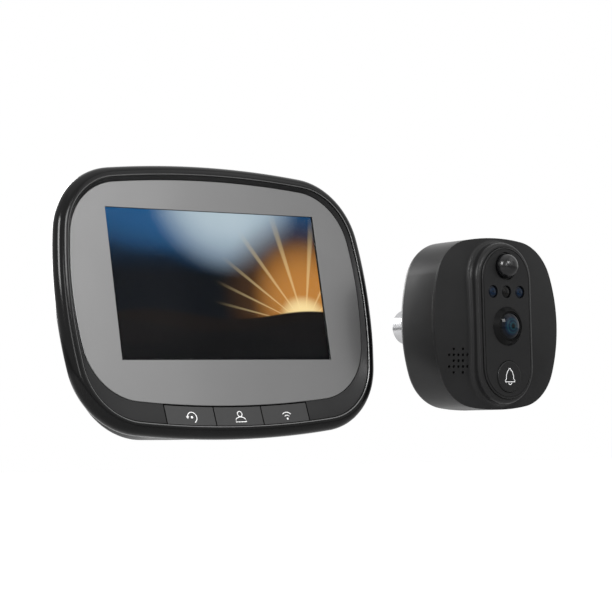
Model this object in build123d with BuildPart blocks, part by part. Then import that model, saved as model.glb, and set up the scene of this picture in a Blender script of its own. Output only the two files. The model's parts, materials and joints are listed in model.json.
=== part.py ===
from build123d import *
from math import atan2, cos, degrees, hypot, radians, sin, sqrt
import os

# Peephole door camera: an indoor monitor that hangs on a plate on the door's inner face, and an
# outdoor camera with a bell button, whose hollow barrel goes through the door.
# Millimetres. The origin is the middle of the wall plate's back, +Z is up, the street is at -Y.
# The outdoor camera is upright, and the monitor leans back from it by display_tilt.
# "out" is a height above the door face of the monitor, or above the casing seam of the outdoor
# camera. "up" and "right" are measured from the middle of each unit.

os.makedirs("parts", exist_ok=True)

# Fits
overrun = 1.0
free_gap = 0.3
close_gap = 0.15
touch_gap = 0.05

# Where the two units stand
display_tilt = 10
outdoor_right = 110.8
outdoor_forward = 46.7
outdoor_drop = 5.4

# Monitor outlines: width, height, radius of the ends, of the sides and of the corners
body_outline = (139.6, 102.8, 398.0, 166.0, 28.0)
glass_outline = (128.0, 85.0, 410.0, 133.0, 23.2)
housing_outline = (117.0, 96.0, 1200.0, 400.0, 26.0)
glass_rise = 3.1
screen_rise = 5.8
housing_drop = 0.8

# Monitor depths
plate_thickness = 1.6
housing_out = plate_thickness + free_gap
housing_wall = 2.0
housing_edge_radius = 3.0
cover_margin = 3.2
cover_ledge_width = 0.8
cover_rim_thickness = 1.0
flange_thickness = 1.6
parting_out = 14.5
rim_depth = 7.6
rim_radius = 3.7
ridge_out = parting_out + rim_depth
groove_depth = 0.35
dish_margin = 4.2
glass_sink = 1.6
glass_out = ridge_out - glass_sink
glass_thickness = 1.1
ledge_width = 2.5
glass_back_out = glass_out - glass_thickness

# Picture panel and its carrier
lcd_width = 105.4
lcd_height = 67.1
lcd_thickness = 2.9
lcd_out = glass_back_out - touch_gap - lcd_thickness
picture_width = 93.6
picture_height = 56.16
carrier_thickness = 1.2
carrier_out = lcd_out - touch_gap - carrier_thickness
carrier_window_width = 70.0
carrier_window_height = 34.0
board_post_radius = 2.5

# Front keys
key_pitch = 21.2
key_count = 3
key_gap = 0.25
key_travel = 0.5
key_band_height = 14.0
key_band_drop = 43.4
key_back_out = 17.0
key_stem_radius = 1.6
key_board_width = 74.0
key_board_height = 5.6
key_board_drop = 43.0
key_board_thickness = 1.0
key_switch_width = 6.0
key_switch_height = 5.0
key_switch_thickness = 1.8
key_plunger_radius = 1.3
key_plunger_height = 0.4
key_board_out = 11.4
key_board_post_right = 34.0
key_stem_out = (key_board_out + key_board_thickness + key_switch_thickness + key_plunger_height
                + key_travel + touch_gap)

# Main board
board_side_gap = 2.5
board_width = housing_outline[0] - 2 * (housing_wall + board_side_gap)
board_height = 60.0
board_corner = 12.0
board_up = 4.0
board_thickness = 1.2
board_out = 11.2
board_screw_right = 40.0
board_screw_rise = 26.0
screw_head_height = 1.0
screw_drive_sides = 6
board_screw_radius = 0.9
board_screw_head_radius = 1.7
shield_size = 24.0
shield_thickness = 1.6
shield_corner = 1.0
shield_right = -8.0
shield_rise = 6.0
chip_size = 12.0
chip_thickness = 1.1
chip_rights = (20.0, 34.0, -34.0)
chip_rise = 16.0

# Ports on the right wall
usb_width = 7.6
usb_thickness = 2.8
usb_length = 7.0
usb_wall = 0.4
usb_up = 12.0
usb_tongue_width = 4.0
usb_tongue_thickness = 0.7
card_width = 12.0
card_thickness = 1.5
card_length = 15.0
card_up = -5.0
card_slot_wall = 0.3
port_sink = 1.2

# Power slider on the right wall
slider_length = 5.0
slider_thickness = 2.4
slider_depth = 3.0
slider_proud = 0.8
slider_travel = 2.5
slider_up = -18.0
switch_length = 8.6
switch_thickness = 3.4
switch_width = 3.6

# Battery, aerial, sound
battery_width = 70.0
battery_height = 46.0
battery_thickness = 5.2
battery_up = 14.0
battery_corner = 3.0
aerial_width = 42.0
aerial_height = 6.0
aerial_thickness = 0.3
aerial_corner = 0.6
aerial_up = 41.4
speaker_radius = 11.0
speaker_thickness = 4.6
speaker_right = -24.0
speaker_up = -31.0
speaker_cone_radius = 8.5
speaker_cone_depth = 1.2
speaker_cone_taper = 30
speaker_hole_radius = 0.8
speaker_hole_ring_radii = (3.0, 6.0)
speaker_hole_counts = (6, 12)
microphone_radius = 2.5
microphone_thickness = 1.8
microphone_right = 32.0

# Screws of the rear housing
housing_screw_right = 49.5
housing_screw_rise = 26.5
housing_post_radius = 2.8
housing_screw_radius = 1.0
housing_screw_head_radius = 1.9
housing_screw_head_out = 6.0
housing_screw_head_height = 1.4
housing_screw_length = 7.0
carrier_post_out = 9.0

# Wall plate, its hooks and the clamp tube
plate_width = 96.0
plate_height = 56.0
plate_corner = 7.0
plate_hole_circle = 48.0
plate_hole_radius = 2.1
plate_hole_count = 4
plate_hole_start = 45
plate_window_corner = 0.8
hook_right = 41.0
hook_rise = 20.0
hook_width = 6.0
hook_thickness = 1.6
hook_lip_height = 2.6
hook_lip_thickness = 1.0
lift_travel = 7.0
hook_lip_out = housing_out + housing_wall + free_gap
tube_radius = 5.8
tube_bore_radius = 4.2
tube_length = 24.0
tube_head_radius = 7.2
tube_head_depth = 1.4
tube_head_taper = 45
tube_slot_width = 1.2
tube_slot_depth = 0.8
socket_width = 18.0
socket_height = 6.0
socket_thickness = 4.6
socket_wall = 0.8
socket_up = -22.0
socket_window_margin = 3.0

# Outdoor casing
case_outline = (65.0, 67.0, 92.0, 64.0, 18.9)
case_back_depth = 19.6
case_wall = 2.0
case_back_radius = 2.4
cheek_top_out = 3.0
cheek_dome_radius = 290.0
nose_out = 6.5
nose_half_width = 14.5
nose_half_height = 31.4
nose_edge_radius = 1.8
nose_root_radius = 2.0
panel_width = 25.0
panel_height = 58.8
panel_thickness = 2.3
panel_proud = 0.7
panel_edge_radius = 0.35
panel_floor_thickness = 1.8
panel_line_inset = 0.55
panel_line_width = 0.3
panel_line_depth = 0.25

# Outdoor camera, sensors and lights
lens_up = -1.3
lens_seat_width = 1.0
lens_bezel_radius = 7.5
lens_opening_radius = 5.7
lens_cone_radius = 6.0
lens_cone_rise = 1.8
lens_glass_radius = 5.6
lens_glass_sag = 1.6
lens_glass_sink = 0.1
lens_glass_thickness = 2.4
lens_barrel_radius = 5.5
holder_size = 15.0
sensor_size = 7.2
sensor_thickness = 0.9
window_up = 12.1
window_pitch = 7.05
window_count = 3
window_radius = 2.45
window_sag = 0.5
emitter_size = 3.4
emitter_thickness = 1.9
pir_up = 22.1
pir_hole_radius = 5.4
pir_dome_radius = 4.9
pir_dome_rise = 0.1
pir_foot_radius = 5.2
pir_foot_thickness = 1.6
pir_sensor_radius = 4.1
pir_sensor_height = 4.2
button_up = -20.8
button_radius = 6.1
button_proud = 0.5
button_thickness = 1.9
button_travel = 0.7
button_stem_radius = 3.0
button_edge_radius = 0.5
button_switch_size = 6.0
button_switch_height = 3.2
button_plunger_radius = 1.7
button_plunger_height = 0.5
grille_right = -21.2
grille_up = -14.4
grille_column_pitch = 2.2
grille_row_pitch = 2.24
grille_hole_radius = 0.58
grille_rows = ((-1, 1), (-2, -1, 0, 1, 2), (-1, 0, 1), (-2, -1, 0, 1, 2), (-1, 1))

# Inside and behind the outdoor casing
street_board_gap = 4.2
street_board_width = case_outline[0] - 2 * (case_wall + street_board_gap)
street_board_height = case_outline[1] - 2 * (case_wall + street_board_gap)
street_board_corner = 14.0
street_board_thickness = 1.2
street_board_out = -5.2
case_post_right = 20.5
case_post_rise = 22.5
case_post_radius = 2.8
case_screw_radius = 1.0
case_screw_head_radius = 1.9
case_screw_head_height = 1.4
case_screw_head_out = -12.0
case_screw_length = 11.6
street_speaker_width = 12.8
street_speaker_height = 9.6
street_speaker_thickness = 3.2
street_speaker_corner = 3.6
street_speaker_cone_radius = 4.4
street_speaker_cone_depth = 0.8
street_speaker_cone_taper = 45
street_microphone_radius = 2.0
street_microphone_thickness = 1.6
street_microphone_right = -18.0
street_microphone_up = -3.6
cable_socket_width = 9.0
cable_socket_height = 4.0
cable_socket_thickness = 2.6
gasket_inset = 0.7
gasket_width = 0.7
gasket_depth = 0.7
pad_margin = 3.2
pad_thickness = 0.8
barrel_radius = 7.0
barrel_bore_radius = 6.0
barrel_length = 34.7
barrel_up = 1.3
barrel_chamfer = 0.6
barrel_neck_radius = 7.4
barrel_flange_radius = 9.5
barrel_flange_thickness = 1.8


class SoftRectangle(BaseSketchObject):
    """Rectangle with gently arched sides that run smoothly into its corner arcs."""

    _applies_to = [BuildSketch._tag]

    def __init__(self, width, height, end_radius, side_radius, corner_radius, mode=Mode.ADD):
        end_middle = height / 2 - end_radius
        side_middle = width / 2 - side_radius
        end_reach = end_radius - corner_radius
        side_reach = side_radius - corner_radius
        apart = hypot(side_middle, end_middle)
        along = (end_reach**2 - side_reach**2 + apart**2) / (2 * apart)
        across = sqrt(end_reach**2 - along**2)
        corner_right = (along * side_middle - across * end_middle) / apart
        corner_up = end_middle + (-along * end_middle - across * side_middle) / apart
        end_angle = degrees(atan2(corner_up - end_middle, corner_right))
        side_angle = degrees(atan2(corner_up, corner_right - side_middle))
        corner_starts = (
            (1, 1, side_angle),
            (-1, 1, 180 - end_angle),
            (-1, -1, 180 + side_angle),
            (1, -1, -end_angle),
        )
        with BuildLine() as outline:
            CenterArc((0, end_middle), end_radius, end_angle, 180 - 2 * end_angle)
            CenterArc((0, -end_middle), end_radius, 180 + end_angle, 180 - 2 * end_angle)
            CenterArc((side_middle, 0), side_radius, -side_angle, 2 * side_angle)
            CenterArc((-side_middle, 0), side_radius, 180 - side_angle, 2 * side_angle)
            for right, up, start in corner_starts:
                middle = (right * corner_right, up * corner_up)
                CenterArc(middle, corner_radius, start, end_angle - side_angle)
        face = make_face(outline.edges(), mode=Mode.PRIVATE)
        super().__init__(obj=face, mode=mode)


def grown(outline, margin):
    """The outline with the same margin added on every side."""
    width, height, *radii = outline
    return (width + 2 * margin, height + 2 * margin, *(radius + margin for radius in radii))


display_out = Vector(0, -cos(radians(display_tilt)), sin(radians(display_tilt)))
display_axis = Axis((0, 0, 0), display_out)
street_axis = Axis((0, 0, 0), (0, -1, 0))
street_middle = Vector(outdoor_right, -outdoor_forward, -outdoor_drop)


def indoor(out):
    """Plane of the monitor, parallel to its face, at a height above the door."""
    return Plane(origin=display_out * out, x_dir=(1, 0, 0), z_dir=display_out)


def street(out):
    """Plane of the outdoor camera, parallel to its face, at a height above the casing seam."""
    return Plane(origin=street_middle + Vector(0, -out, 0), x_dir=(1, 0, 0), z_dir=(0, -1, 0))


def save(piece, name):
    """Label a finished piece and write it under its name."""
    piece.part.label = name
    export_step(piece.part, f"parts/{name}.step")


def four_corners(right, rise, middle=0):
    """The four places at this distance left and right, above and below a middle height."""
    return Locations(*[(x, middle + y) for x in (-right, right) for y in (-rise, rise)])


housing_screw_places = four_corners(housing_screw_right, housing_screw_rise, board_up)
board_screw_places = four_corners(board_screw_right, board_screw_rise, board_up)
hook_places = four_corners(hook_right, hook_rise)
case_post_places = four_corners(case_post_right, case_post_rise)
dish_outline = grown(body_outline, -dish_margin)
pocket_outline = grown(glass_outline, close_gap)
dish_mouth_out = ridge_out - groove_depth


def make_dish_hollow():
    """The room in front of the dished bezel: it widens from the glass to the rim's ridge."""
    with BuildPart(mode=Mode.PRIVATE) as hollow:
        with BuildSketch(indoor(glass_out)):
            with Locations((0, glass_rise)):
                SoftRectangle(*pocket_outline)
        with BuildSketch(indoor(dish_mouth_out)):
            SoftRectangle(*dish_outline)
        loft(ruled=True)
        with BuildSketch(indoor(dish_mouth_out)):
            SoftRectangle(*dish_outline)
        extrude(amount=groove_depth + overrun)
    return hollow.part


# Rim and dished bezel of the monitor
dish_hollow = make_dish_hollow()
with BuildPart() as front_frame:
    with BuildSketch(indoor(parting_out)):
        SoftRectangle(*body_outline)
    extrude(amount=rim_depth)
    rim_edges = front_frame.edges().group_by(display_axis)
    fillet(rim_edges[0] + rim_edges[-1], rim_radius)
    add(dish_hollow, mode=Mode.SUBTRACT)
    with BuildSketch(indoor(glass_back_out)):
        with Locations((0, glass_rise)):
            SoftRectangle(*pocket_outline)
    extrude(amount=glass_thickness + overrun, mode=Mode.SUBTRACT)
    with BuildSketch(indoor(parting_out)):
        with Locations((0, glass_rise)):
            SoftRectangle(*grown(glass_outline, -ledge_width))
    extrude(amount=rim_depth, mode=Mode.SUBTRACT)
    with BuildSketch(indoor(parting_out)):
        SoftRectangle(*dish_outline)
        with Locations((0, -key_band_drop)):
            Rectangle(key_count * key_pitch + key_gap, key_band_height, mode=Mode.INTERSECT)
        with Locations((0, glass_rise)):
            SoftRectangle(*pocket_outline, mode=Mode.SUBTRACT)
    extrude(amount=rim_depth, mode=Mode.SUBTRACT)
    with BuildSketch(indoor(carrier_out)):
        with Locations((0, screen_rise)):
            Rectangle(lcd_width + 2 * close_gap, lcd_height + 2 * close_gap)
    extrude(amount=glass_back_out - carrier_out, mode=Mode.SUBTRACT)
save(front_frame, "front_frame")

# Cover glass
with BuildPart() as screen_glass:
    with BuildSketch(indoor(glass_back_out + touch_gap)):
        with Locations((0, glass_rise)):
            SoftRectangle(*glass_outline)
    extrude(amount=glass_thickness - touch_gap)
save(screen_glass, "screen_glass")

# Picture panel, a plate with a raised picture area
with BuildPart() as lcd_panel:
    with BuildSketch(indoor(lcd_out)):
        with Locations((0, screen_rise)):
            Rectangle(lcd_width, lcd_height)
    extrude(amount=lcd_thickness - touch_gap)
    with BuildSketch(indoor(lcd_out + lcd_thickness - touch_gap)):
        with Locations((0, screen_rise)):
            Rectangle(picture_width, picture_height)
    extrude(amount=touch_gap)
save(lcd_panel, "lcd_panel")

# Carrier behind the picture panel, with posts for the main board and for the housing's screws
with BuildPart() as mid_frame:
    with BuildSketch(indoor(carrier_out)):
        with Locations((0, glass_rise)):
            SoftRectangle(*grown(glass_outline, -ledge_width - close_gap))
        with Locations((0, screen_rise)):
            Rectangle(carrier_window_width, carrier_window_height, mode=Mode.SUBTRACT)
    extrude(amount=carrier_thickness)
    with BuildSketch(indoor(board_out + board_thickness)):
        with board_screw_places:
            Circle(board_post_radius)
    extrude(amount=carrier_out - board_out - board_thickness + touch_gap)
    with BuildSketch(indoor(carrier_post_out)):
        with housing_screw_places:
            Circle(housing_post_radius)
    extrude(amount=carrier_out - carrier_post_out + touch_gap)
    with BuildSketch(indoor(carrier_post_out)):
        with housing_screw_places:
            Circle(housing_screw_radius + touch_gap)
    extrude(amount=carrier_out - carrier_post_out, mode=Mode.SUBTRACT)
    with BuildSketch(indoor(board_out + board_thickness)):
        with board_screw_places:
            Circle(board_screw_radius + touch_gap)
    extrude(amount=carrier_out - board_out - board_thickness, mode=Mode.SUBTRACT)
save(mid_frame, "mid_frame")

# Main board and what is on it
with BuildPart() as main_board:
    with BuildSketch(indoor(board_out)):
        with Locations((0, board_up)):
            RectangleRounded(board_width, board_height, board_corner)
        with board_screw_places:
            Circle(board_screw_radius + touch_gap, mode=Mode.SUBTRACT)
        with housing_screw_places:
            Circle(housing_post_radius + free_gap, mode=Mode.SUBTRACT)
    extrude(amount=board_thickness - touch_gap)
save(main_board, "main_board")

with BuildPart() as processor_shield:
    with BuildSketch(indoor(board_out - shield_thickness)):
        with Locations((shield_right, shield_rise)):
            RectangleRounded(shield_size, shield_size, shield_corner)
    extrude(amount=shield_thickness)
save(processor_shield, "processor_shield")

with BuildPart() as board_chips:
    with BuildSketch(indoor(board_out - chip_thickness)):
        with Locations(*[(right, chip_rise) for right in chip_rights]):
            Rectangle(chip_size, chip_size)
    extrude(amount=chip_thickness)
save(board_chips, "board_chips")

with BuildPart() as board_screws:
    with BuildSketch(indoor(board_out)):
        with board_screw_places:
            Circle(board_screw_radius)
    extrude(amount=carrier_out - board_out - touch_gap)
    with BuildSketch(indoor(board_out)):
        with board_screw_places:
            Circle(board_screw_head_radius)
    extrude(amount=-screw_head_height)
save(board_screws, "board_screws")

# Three front keys, which carry the bezel's dished face on
for name, column in (("left_key", -1), ("centre_key", 0), ("right_key", 1)):
    with BuildPart() as key:
        with BuildSketch(indoor(key_back_out)):
            SoftRectangle(*grown(dish_outline, -key_gap))
            with Locations((column * key_pitch, -key_band_drop)):
                Rectangle(key_pitch - key_gap, key_band_height, mode=Mode.INTERSECT)
            with Locations((0, glass_rise)):
                SoftRectangle(*grown(pocket_outline, key_gap), mode=Mode.SUBTRACT)
        extrude(amount=ridge_out - key_back_out)
        add(dish_hollow, mode=Mode.SUBTRACT)
        with BuildSketch(indoor(key_stem_out)):
            with Locations((column * key_pitch, -key_board_drop)):
                Circle(key_stem_radius)
        extrude(amount=key_back_out - key_stem_out + touch_gap)
    save(key, name)

# Board strip under the keys, with its switches
key_switch_out = key_board_out + key_board_thickness
with BuildPart() as key_board:
    with BuildSketch(indoor(key_board_out)):
        with Locations((0, -key_board_drop)):
            Rectangle(key_board_width, key_board_height)
    extrude(amount=key_board_thickness)
save(key_board, "key_board")

with BuildPart() as key_switches:
    with BuildSketch(indoor(key_switch_out)):
        with Locations((0, -key_board_drop)):
            with GridLocations(key_pitch, 0, key_count, 1):
                Rectangle(key_switch_width, key_switch_height)
    extrude(amount=key_switch_thickness)
    with BuildSketch(indoor(key_switch_out + key_switch_thickness)):
        with Locations((0, -key_board_drop)):
            with GridLocations(key_pitch, 0, key_count, 1):
                Circle(key_plunger_radius)
    extrude(amount=key_plunger_height)
save(key_switches, "key_switches")

with BuildPart() as indoor_microphone:
    with BuildSketch(indoor(key_switch_out)):
        with Locations((microphone_right, -key_board_drop)):
            Circle(microphone_radius)
    extrude(amount=microphone_thickness)
save(indoor_microphone, "indoor_microphone")

# Rear housing: a deep ring with a flange that closes the rim, a ledge for the rear cover, and
# openings for the ports and the slider
housing_half_width = housing_outline[0] / 2
floor_out = housing_out + housing_wall
usb_out = board_out - usb_thickness
card_out = board_out - card_thickness
slider_out = board_out - (switch_thickness + slider_thickness) / 2
hook_slot_height = hook_thickness + lift_travel + 2 * free_gap
hook_slot_drop = (hook_slot_height - hook_thickness) / 2 - free_gap
with BuildPart() as rear_housing:
    with BuildSketch(indoor(housing_out)):
        with Locations((0, -housing_drop)):
            SoftRectangle(*housing_outline)
    extrude(amount=parting_out - housing_out)
    fillet(rear_housing.edges().group_by(display_axis)[0], housing_edge_radius)
    with BuildSketch(indoor(parting_out - flange_thickness)):
        SoftRectangle(*grown(body_outline, -rim_radius - close_gap))
    extrude(amount=flange_thickness)
    with BuildSketch(indoor(floor_out)):
        with Locations((0, -housing_drop)):
            SoftRectangle(*grown(housing_outline, -housing_wall))
    extrude(amount=parting_out - floor_out, mode=Mode.SUBTRACT)
    with BuildSketch(indoor(housing_out)):
        with Locations((0, -housing_drop)):
            SoftRectangle(*grown(housing_outline, -cover_margin))
    extrude(amount=cover_rim_thickness, mode=Mode.SUBTRACT)
    with BuildSketch(indoor(housing_out)):
        with Locations((0, -housing_drop)):
            SoftRectangle(*grown(housing_outline, -cover_margin - cover_ledge_width))
    extrude(amount=floor_out - housing_out, mode=Mode.SUBTRACT)
    with BuildSketch(indoor(usb_out - free_gap)):
        with Locations((housing_half_width, usb_up)):
            Rectangle(2 * housing_wall + 2 * overrun, usb_width + 2 * free_gap)
    extrude(amount=usb_thickness + 2 * free_gap, mode=Mode.SUBTRACT)
    with BuildSketch(indoor(card_out - free_gap)):
        with Locations((housing_half_width, card_up)):
            Rectangle(2 * housing_wall + 2 * overrun, card_width + 2 * free_gap)
    extrude(amount=card_thickness + 2 * free_gap, mode=Mode.SUBTRACT)
    with BuildSketch(indoor(slider_out - free_gap)):
        with Locations((housing_half_width, slider_up + slider_travel / 2)):
            Rectangle(2 * housing_wall + 2 * overrun, slider_length + slider_travel + 2 * free_gap)
    extrude(amount=slider_thickness + 2 * free_gap, mode=Mode.SUBTRACT)
save(rear_housing, "rear_housing")

# Rear cover in the housing's ledge, with slots for the hooks and posts for screws and key board
with BuildPart() as rear_cover:
    with BuildSketch(indoor(housing_out)):
        with Locations((0, -housing_drop)):
            SoftRectangle(*grown(housing_outline, -cover_margin - close_gap))
    extrude(amount=cover_rim_thickness - touch_gap)
    with BuildSketch(indoor(housing_out)):
        with Locations((0, -housing_drop)):
            SoftRectangle(*grown(housing_outline, -cover_margin - cover_ledge_width - close_gap))
    extrude(amount=floor_out - housing_out)
    with BuildSketch(indoor(floor_out)):
        with Locations((-key_board_post_right, -key_board_drop), (key_board_post_right, -key_board_drop)):
            Circle(board_post_radius)
    extrude(amount=key_board_out - floor_out - touch_gap)
    with BuildSketch(indoor(floor_out)):
        with housing_screw_places:
            Circle(housing_post_radius)
    extrude(amount=carrier_post_out - floor_out - touch_gap)
    with BuildSketch(indoor(housing_out)):
        with housing_screw_places:
            Circle(housing_screw_head_radius + close_gap)
    extrude(amount=housing_screw_head_out + housing_screw_head_height - housing_out, mode=Mode.SUBTRACT)
    with BuildSketch(indoor(housing_out)):
        with housing_screw_places:
            Circle(housing_screw_radius + touch_gap)
        with hook_places:
            with Locations((0, -hook_slot_drop)):
                Rectangle(hook_width + 2 * free_gap, hook_slot_height)
        with Locations((speaker_right, speaker_up)):
            for ring_radius, ring_count in zip(speaker_hole_ring_radii, speaker_hole_counts):
                with PolarLocations(ring_radius, ring_count):
                    Circle(speaker_hole_radius)
        with Locations((0, socket_up)):
            Rectangle(socket_width + 2 * free_gap, socket_height + 2 * free_gap)
    extrude(amount=parting_out - housing_out, mode=Mode.SUBTRACT)
save(rear_cover, "rear_cover")

# Ports, slider and switch at the right wall
with BuildPart() as usb_port:
    usb_right = housing_half_width - port_sink - usb_length / 2
    with BuildSketch(indoor(usb_out)):
        with Locations((usb_right, usb_up)):
            Rectangle(usb_length, usb_width)
    extrude(amount=usb_thickness - touch_gap)
    with BuildSketch(indoor(usb_out + usb_wall)):
        with Locations((usb_right + usb_wall, usb_up)):
            Rectangle(usb_length, usb_width - 2 * usb_wall)
    extrude(amount=usb_thickness - touch_gap - 2 * usb_wall, mode=Mode.SUBTRACT)
    with BuildSketch(indoor(usb_out + (usb_thickness - usb_tongue_thickness) / 2)):
        with Locations((usb_right - usb_wall, usb_up)):
            Rectangle(usb_length - 2 * usb_wall, usb_tongue_width)
    extrude(amount=usb_tongue_thickness)
save(usb_port, "usb_port")

with BuildPart() as card_slot:
    card_right = housing_half_width - port_sink - card_length / 2
    with BuildSketch(indoor(card_out)):
        with Locations((card_right, card_up)):
            Rectangle(card_length, card_width)
    extrude(amount=card_thickness - touch_gap)
    with BuildSketch(indoor(card_out + card_slot_wall)):
        with Locations((card_right + card_slot_wall, card_up)):
            Rectangle(card_length, card_width - 2 * card_slot_wall)
    extrude(amount=card_thickness - touch_gap - 2 * card_slot_wall, mode=Mode.SUBTRACT)
save(card_slot, "card_slot")

with BuildPart() as power_slider:
    with BuildSketch(indoor(slider_out)):
        with Locations((housing_half_width + slider_proud - slider_depth / 2, slider_up)):
            Rectangle(slider_depth, slider_length)
    extrude(amount=slider_thickness)
save(power_slider, "power_slider")

with BuildPart() as power_switch:
    switch_right = housing_half_width + slider_proud - slider_depth - free_gap - switch_width / 2
    with BuildSketch(indoor(board_out - switch_thickness)):
        with Locations((switch_right, slider_up + slider_travel / 2)):
            Rectangle(switch_width, switch_length)
    extrude(amount=switch_thickness)
save(power_switch, "power_switch")

# Battery, aerial, speaker and ribbon socket
with BuildPart() as battery_pack:
    with BuildSketch(indoor(floor_out + touch_gap)):
        with Locations((0, battery_up)):
            RectangleRounded(battery_width, battery_height, battery_corner)
    extrude(amount=battery_thickness)
    fillet(battery_pack.edges().group_by(display_axis)[-1], battery_thickness / 3)
save(battery_pack, "battery_pack")

with BuildPart() as wifi_antenna:
    with BuildSketch(indoor(floor_out + touch_gap)):
        with Locations((0, aerial_up)):
            RectangleRounded(aerial_width, aerial_height, aerial_corner)
    extrude(amount=aerial_thickness)
save(wifi_antenna, "wifi_antenna")

with BuildPart() as indoor_speaker:
    with BuildSketch(indoor(floor_out + touch_gap)):
        with Locations((speaker_right, speaker_up)):
            Circle(speaker_radius)
    extrude(amount=speaker_thickness)
    with BuildSketch(indoor(floor_out + touch_gap)):
        with Locations((speaker_right, speaker_up)):
            Circle(speaker_cone_radius)
    extrude(amount=speaker_cone_depth, taper=speaker_cone_taper, mode=Mode.SUBTRACT)
save(indoor_speaker, "indoor_speaker")

with BuildPart() as ribbon_socket:
    with BuildSketch(indoor(board_out - socket_thickness)):
        with Locations((0, socket_up)):
            Rectangle(socket_width, socket_height)
    extrude(amount=socket_thickness)
    with BuildSketch(indoor(board_out - socket_thickness)):
        with Locations((0, socket_up)):
            Rectangle(socket_width - 2 * socket_wall, socket_height / 2)
    extrude(amount=socket_thickness - 2 * socket_wall, mode=Mode.SUBTRACT)
save(ribbon_socket, "ribbon_socket")

with BuildPart() as housing_screws:
    with BuildSketch(indoor(housing_screw_head_out)):
        with housing_screw_places:
            Circle(housing_screw_head_radius)
    extrude(amount=housing_screw_head_height)
    with BuildSketch(indoor(housing_screw_head_out + housing_screw_head_height)):
        with housing_screw_places:
            Circle(housing_screw_radius)
    extrude(amount=housing_screw_length)
    with BuildSketch(indoor(housing_screw_head_out)):
        with housing_screw_places:
            RegularPolygon(housing_screw_radius, screw_drive_sides)
    extrude(amount=housing_screw_head_height / 2, mode=Mode.SUBTRACT)
save(housing_screws, "housing_screws")

# Steel plate on the door, and its four hooks for the slots of the rear cover
with BuildPart() as wall_plate:
    with BuildSketch(indoor(0)):
        RectangleRounded(plate_width, plate_height, plate_corner)
        Circle(tube_radius + close_gap, mode=Mode.SUBTRACT)
        with PolarLocations(plate_hole_circle / 2, plate_hole_count, start_angle=plate_hole_start):
            Circle(plate_hole_radius, mode=Mode.SUBTRACT)
        with Locations((0, socket_up)):
            RectangleRounded(
                socket_width + 2 * socket_window_margin,
                socket_height + socket_window_margin,
                plate_window_corner,
                mode=Mode.SUBTRACT,
            )
    extrude(amount=plate_thickness)
    with BuildSketch(indoor(plate_thickness)):
        Circle(tube_head_radius + close_gap)
    extrude(amount=-tube_head_depth, taper=tube_head_taper, mode=Mode.SUBTRACT)
save(wall_plate, "wall_plate")

with BuildPart() as plate_hooks:
    with BuildSketch(indoor(plate_thickness)):
        with hook_places:
            Rectangle(hook_width, hook_thickness)
    extrude(amount=hook_lip_out + hook_lip_thickness - plate_thickness)
    with BuildSketch(indoor(hook_lip_out)):
        with hook_places:
            with Locations((0, hook_lip_height / 2)):
                Rectangle(hook_width, hook_lip_height + hook_thickness)
    extrude(amount=hook_lip_thickness)
save(plate_hooks, "plate_hooks")

with BuildPart() as clamp_tube:
    with BuildSketch(indoor(plate_thickness)):
        Circle(tube_head_radius)
    extrude(amount=-tube_head_depth, taper=tube_head_taper)
    with BuildSketch(indoor(plate_thickness - tube_length)):
        Circle(tube_radius)
    extrude(amount=tube_length)
    with BuildSketch(indoor(plate_thickness - tube_length)):
        Circle(tube_bore_radius)
    extrude(amount=tube_length, mode=Mode.SUBTRACT)
    with BuildSketch(indoor(plate_thickness)):
        Rectangle(2 * tube_head_radius, tube_slot_width)
    extrude(amount=-tube_slot_depth, mode=Mode.SUBTRACT)
save(clamp_tube, "clamp_tube")

# Outdoor casing: a gently domed front with a raised nose, and a plain back tub
panel_top = nose_out + panel_proud
panel_out = panel_top - panel_thickness

with BuildPart() as cheek_dome:
    with Locations(street(cheek_top_out - cheek_dome_radius).origin):
        Sphere(cheek_dome_radius)

with BuildPart() as front_shell:
    with BuildSketch(street(0)):
        SoftRectangle(*case_outline)
    extrude(amount=nose_out)
    add(cheek_dome.part, mode=Mode.INTERSECT)
    with BuildSketch(street(0)):
        SlotOverall(2 * nose_half_height, 2 * nose_half_width, rotation=90)
    extrude(amount=nose_out)
    fillet(front_shell.edges(Select.NEW), nose_root_radius)
    fillet(front_shell.edges().group_by(street_axis)[-1], nose_edge_radius)
    with BuildSketch(street(0)):
        SlotOverall(2 * (nose_half_height - case_wall), 2 * (nose_half_width - case_wall), rotation=90)
    extrude(amount=panel_out - panel_floor_thickness, mode=Mode.SUBTRACT)
    with BuildSketch(street(panel_out - touch_gap)):
        SlotOverall(panel_height + 2 * close_gap, panel_width + 2 * close_gap, rotation=90)
    extrude(amount=nose_out, mode=Mode.SUBTRACT)
    with BuildSketch(street(street_board_out + street_board_thickness + touch_gap)):
        with case_post_places:
            Circle(case_post_radius)
    extrude(amount=-street_board_out - street_board_thickness)
    with BuildSketch(street(street_board_out)):
        with case_post_places:
            Circle(case_screw_radius + touch_gap)
    extrude(amount=case_screw_head_out + case_screw_length + free_gap - street_board_out,
            mode=Mode.SUBTRACT)
    with BuildSketch(street(0)):
        with Locations((0, lens_up)):
            Circle(lens_bezel_radius - lens_seat_width)
        with Locations((0, pir_up)):
            Circle(pir_sensor_radius + free_gap)
        with Locations((0, window_up)):
            with GridLocations(window_pitch, 0, window_count, 1):
                Circle(window_radius - free_gap)
        with Locations((0, button_up)):
            Circle(button_stem_radius + free_gap)
    extrude(amount=nose_out, mode=Mode.SUBTRACT)
    with BuildSketch(street(0)):
        for row, columns in enumerate(grille_rows):
            row_up = grille_up + (len(grille_rows) // 2 - row) * grille_row_pitch
            with Locations(*[(grille_right + c * grille_column_pitch, row_up) for c in columns]):
                Circle(grille_hole_radius)
    extrude(amount=nose_out, mode=Mode.SUBTRACT)
save(front_shell, "front_shell")

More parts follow.
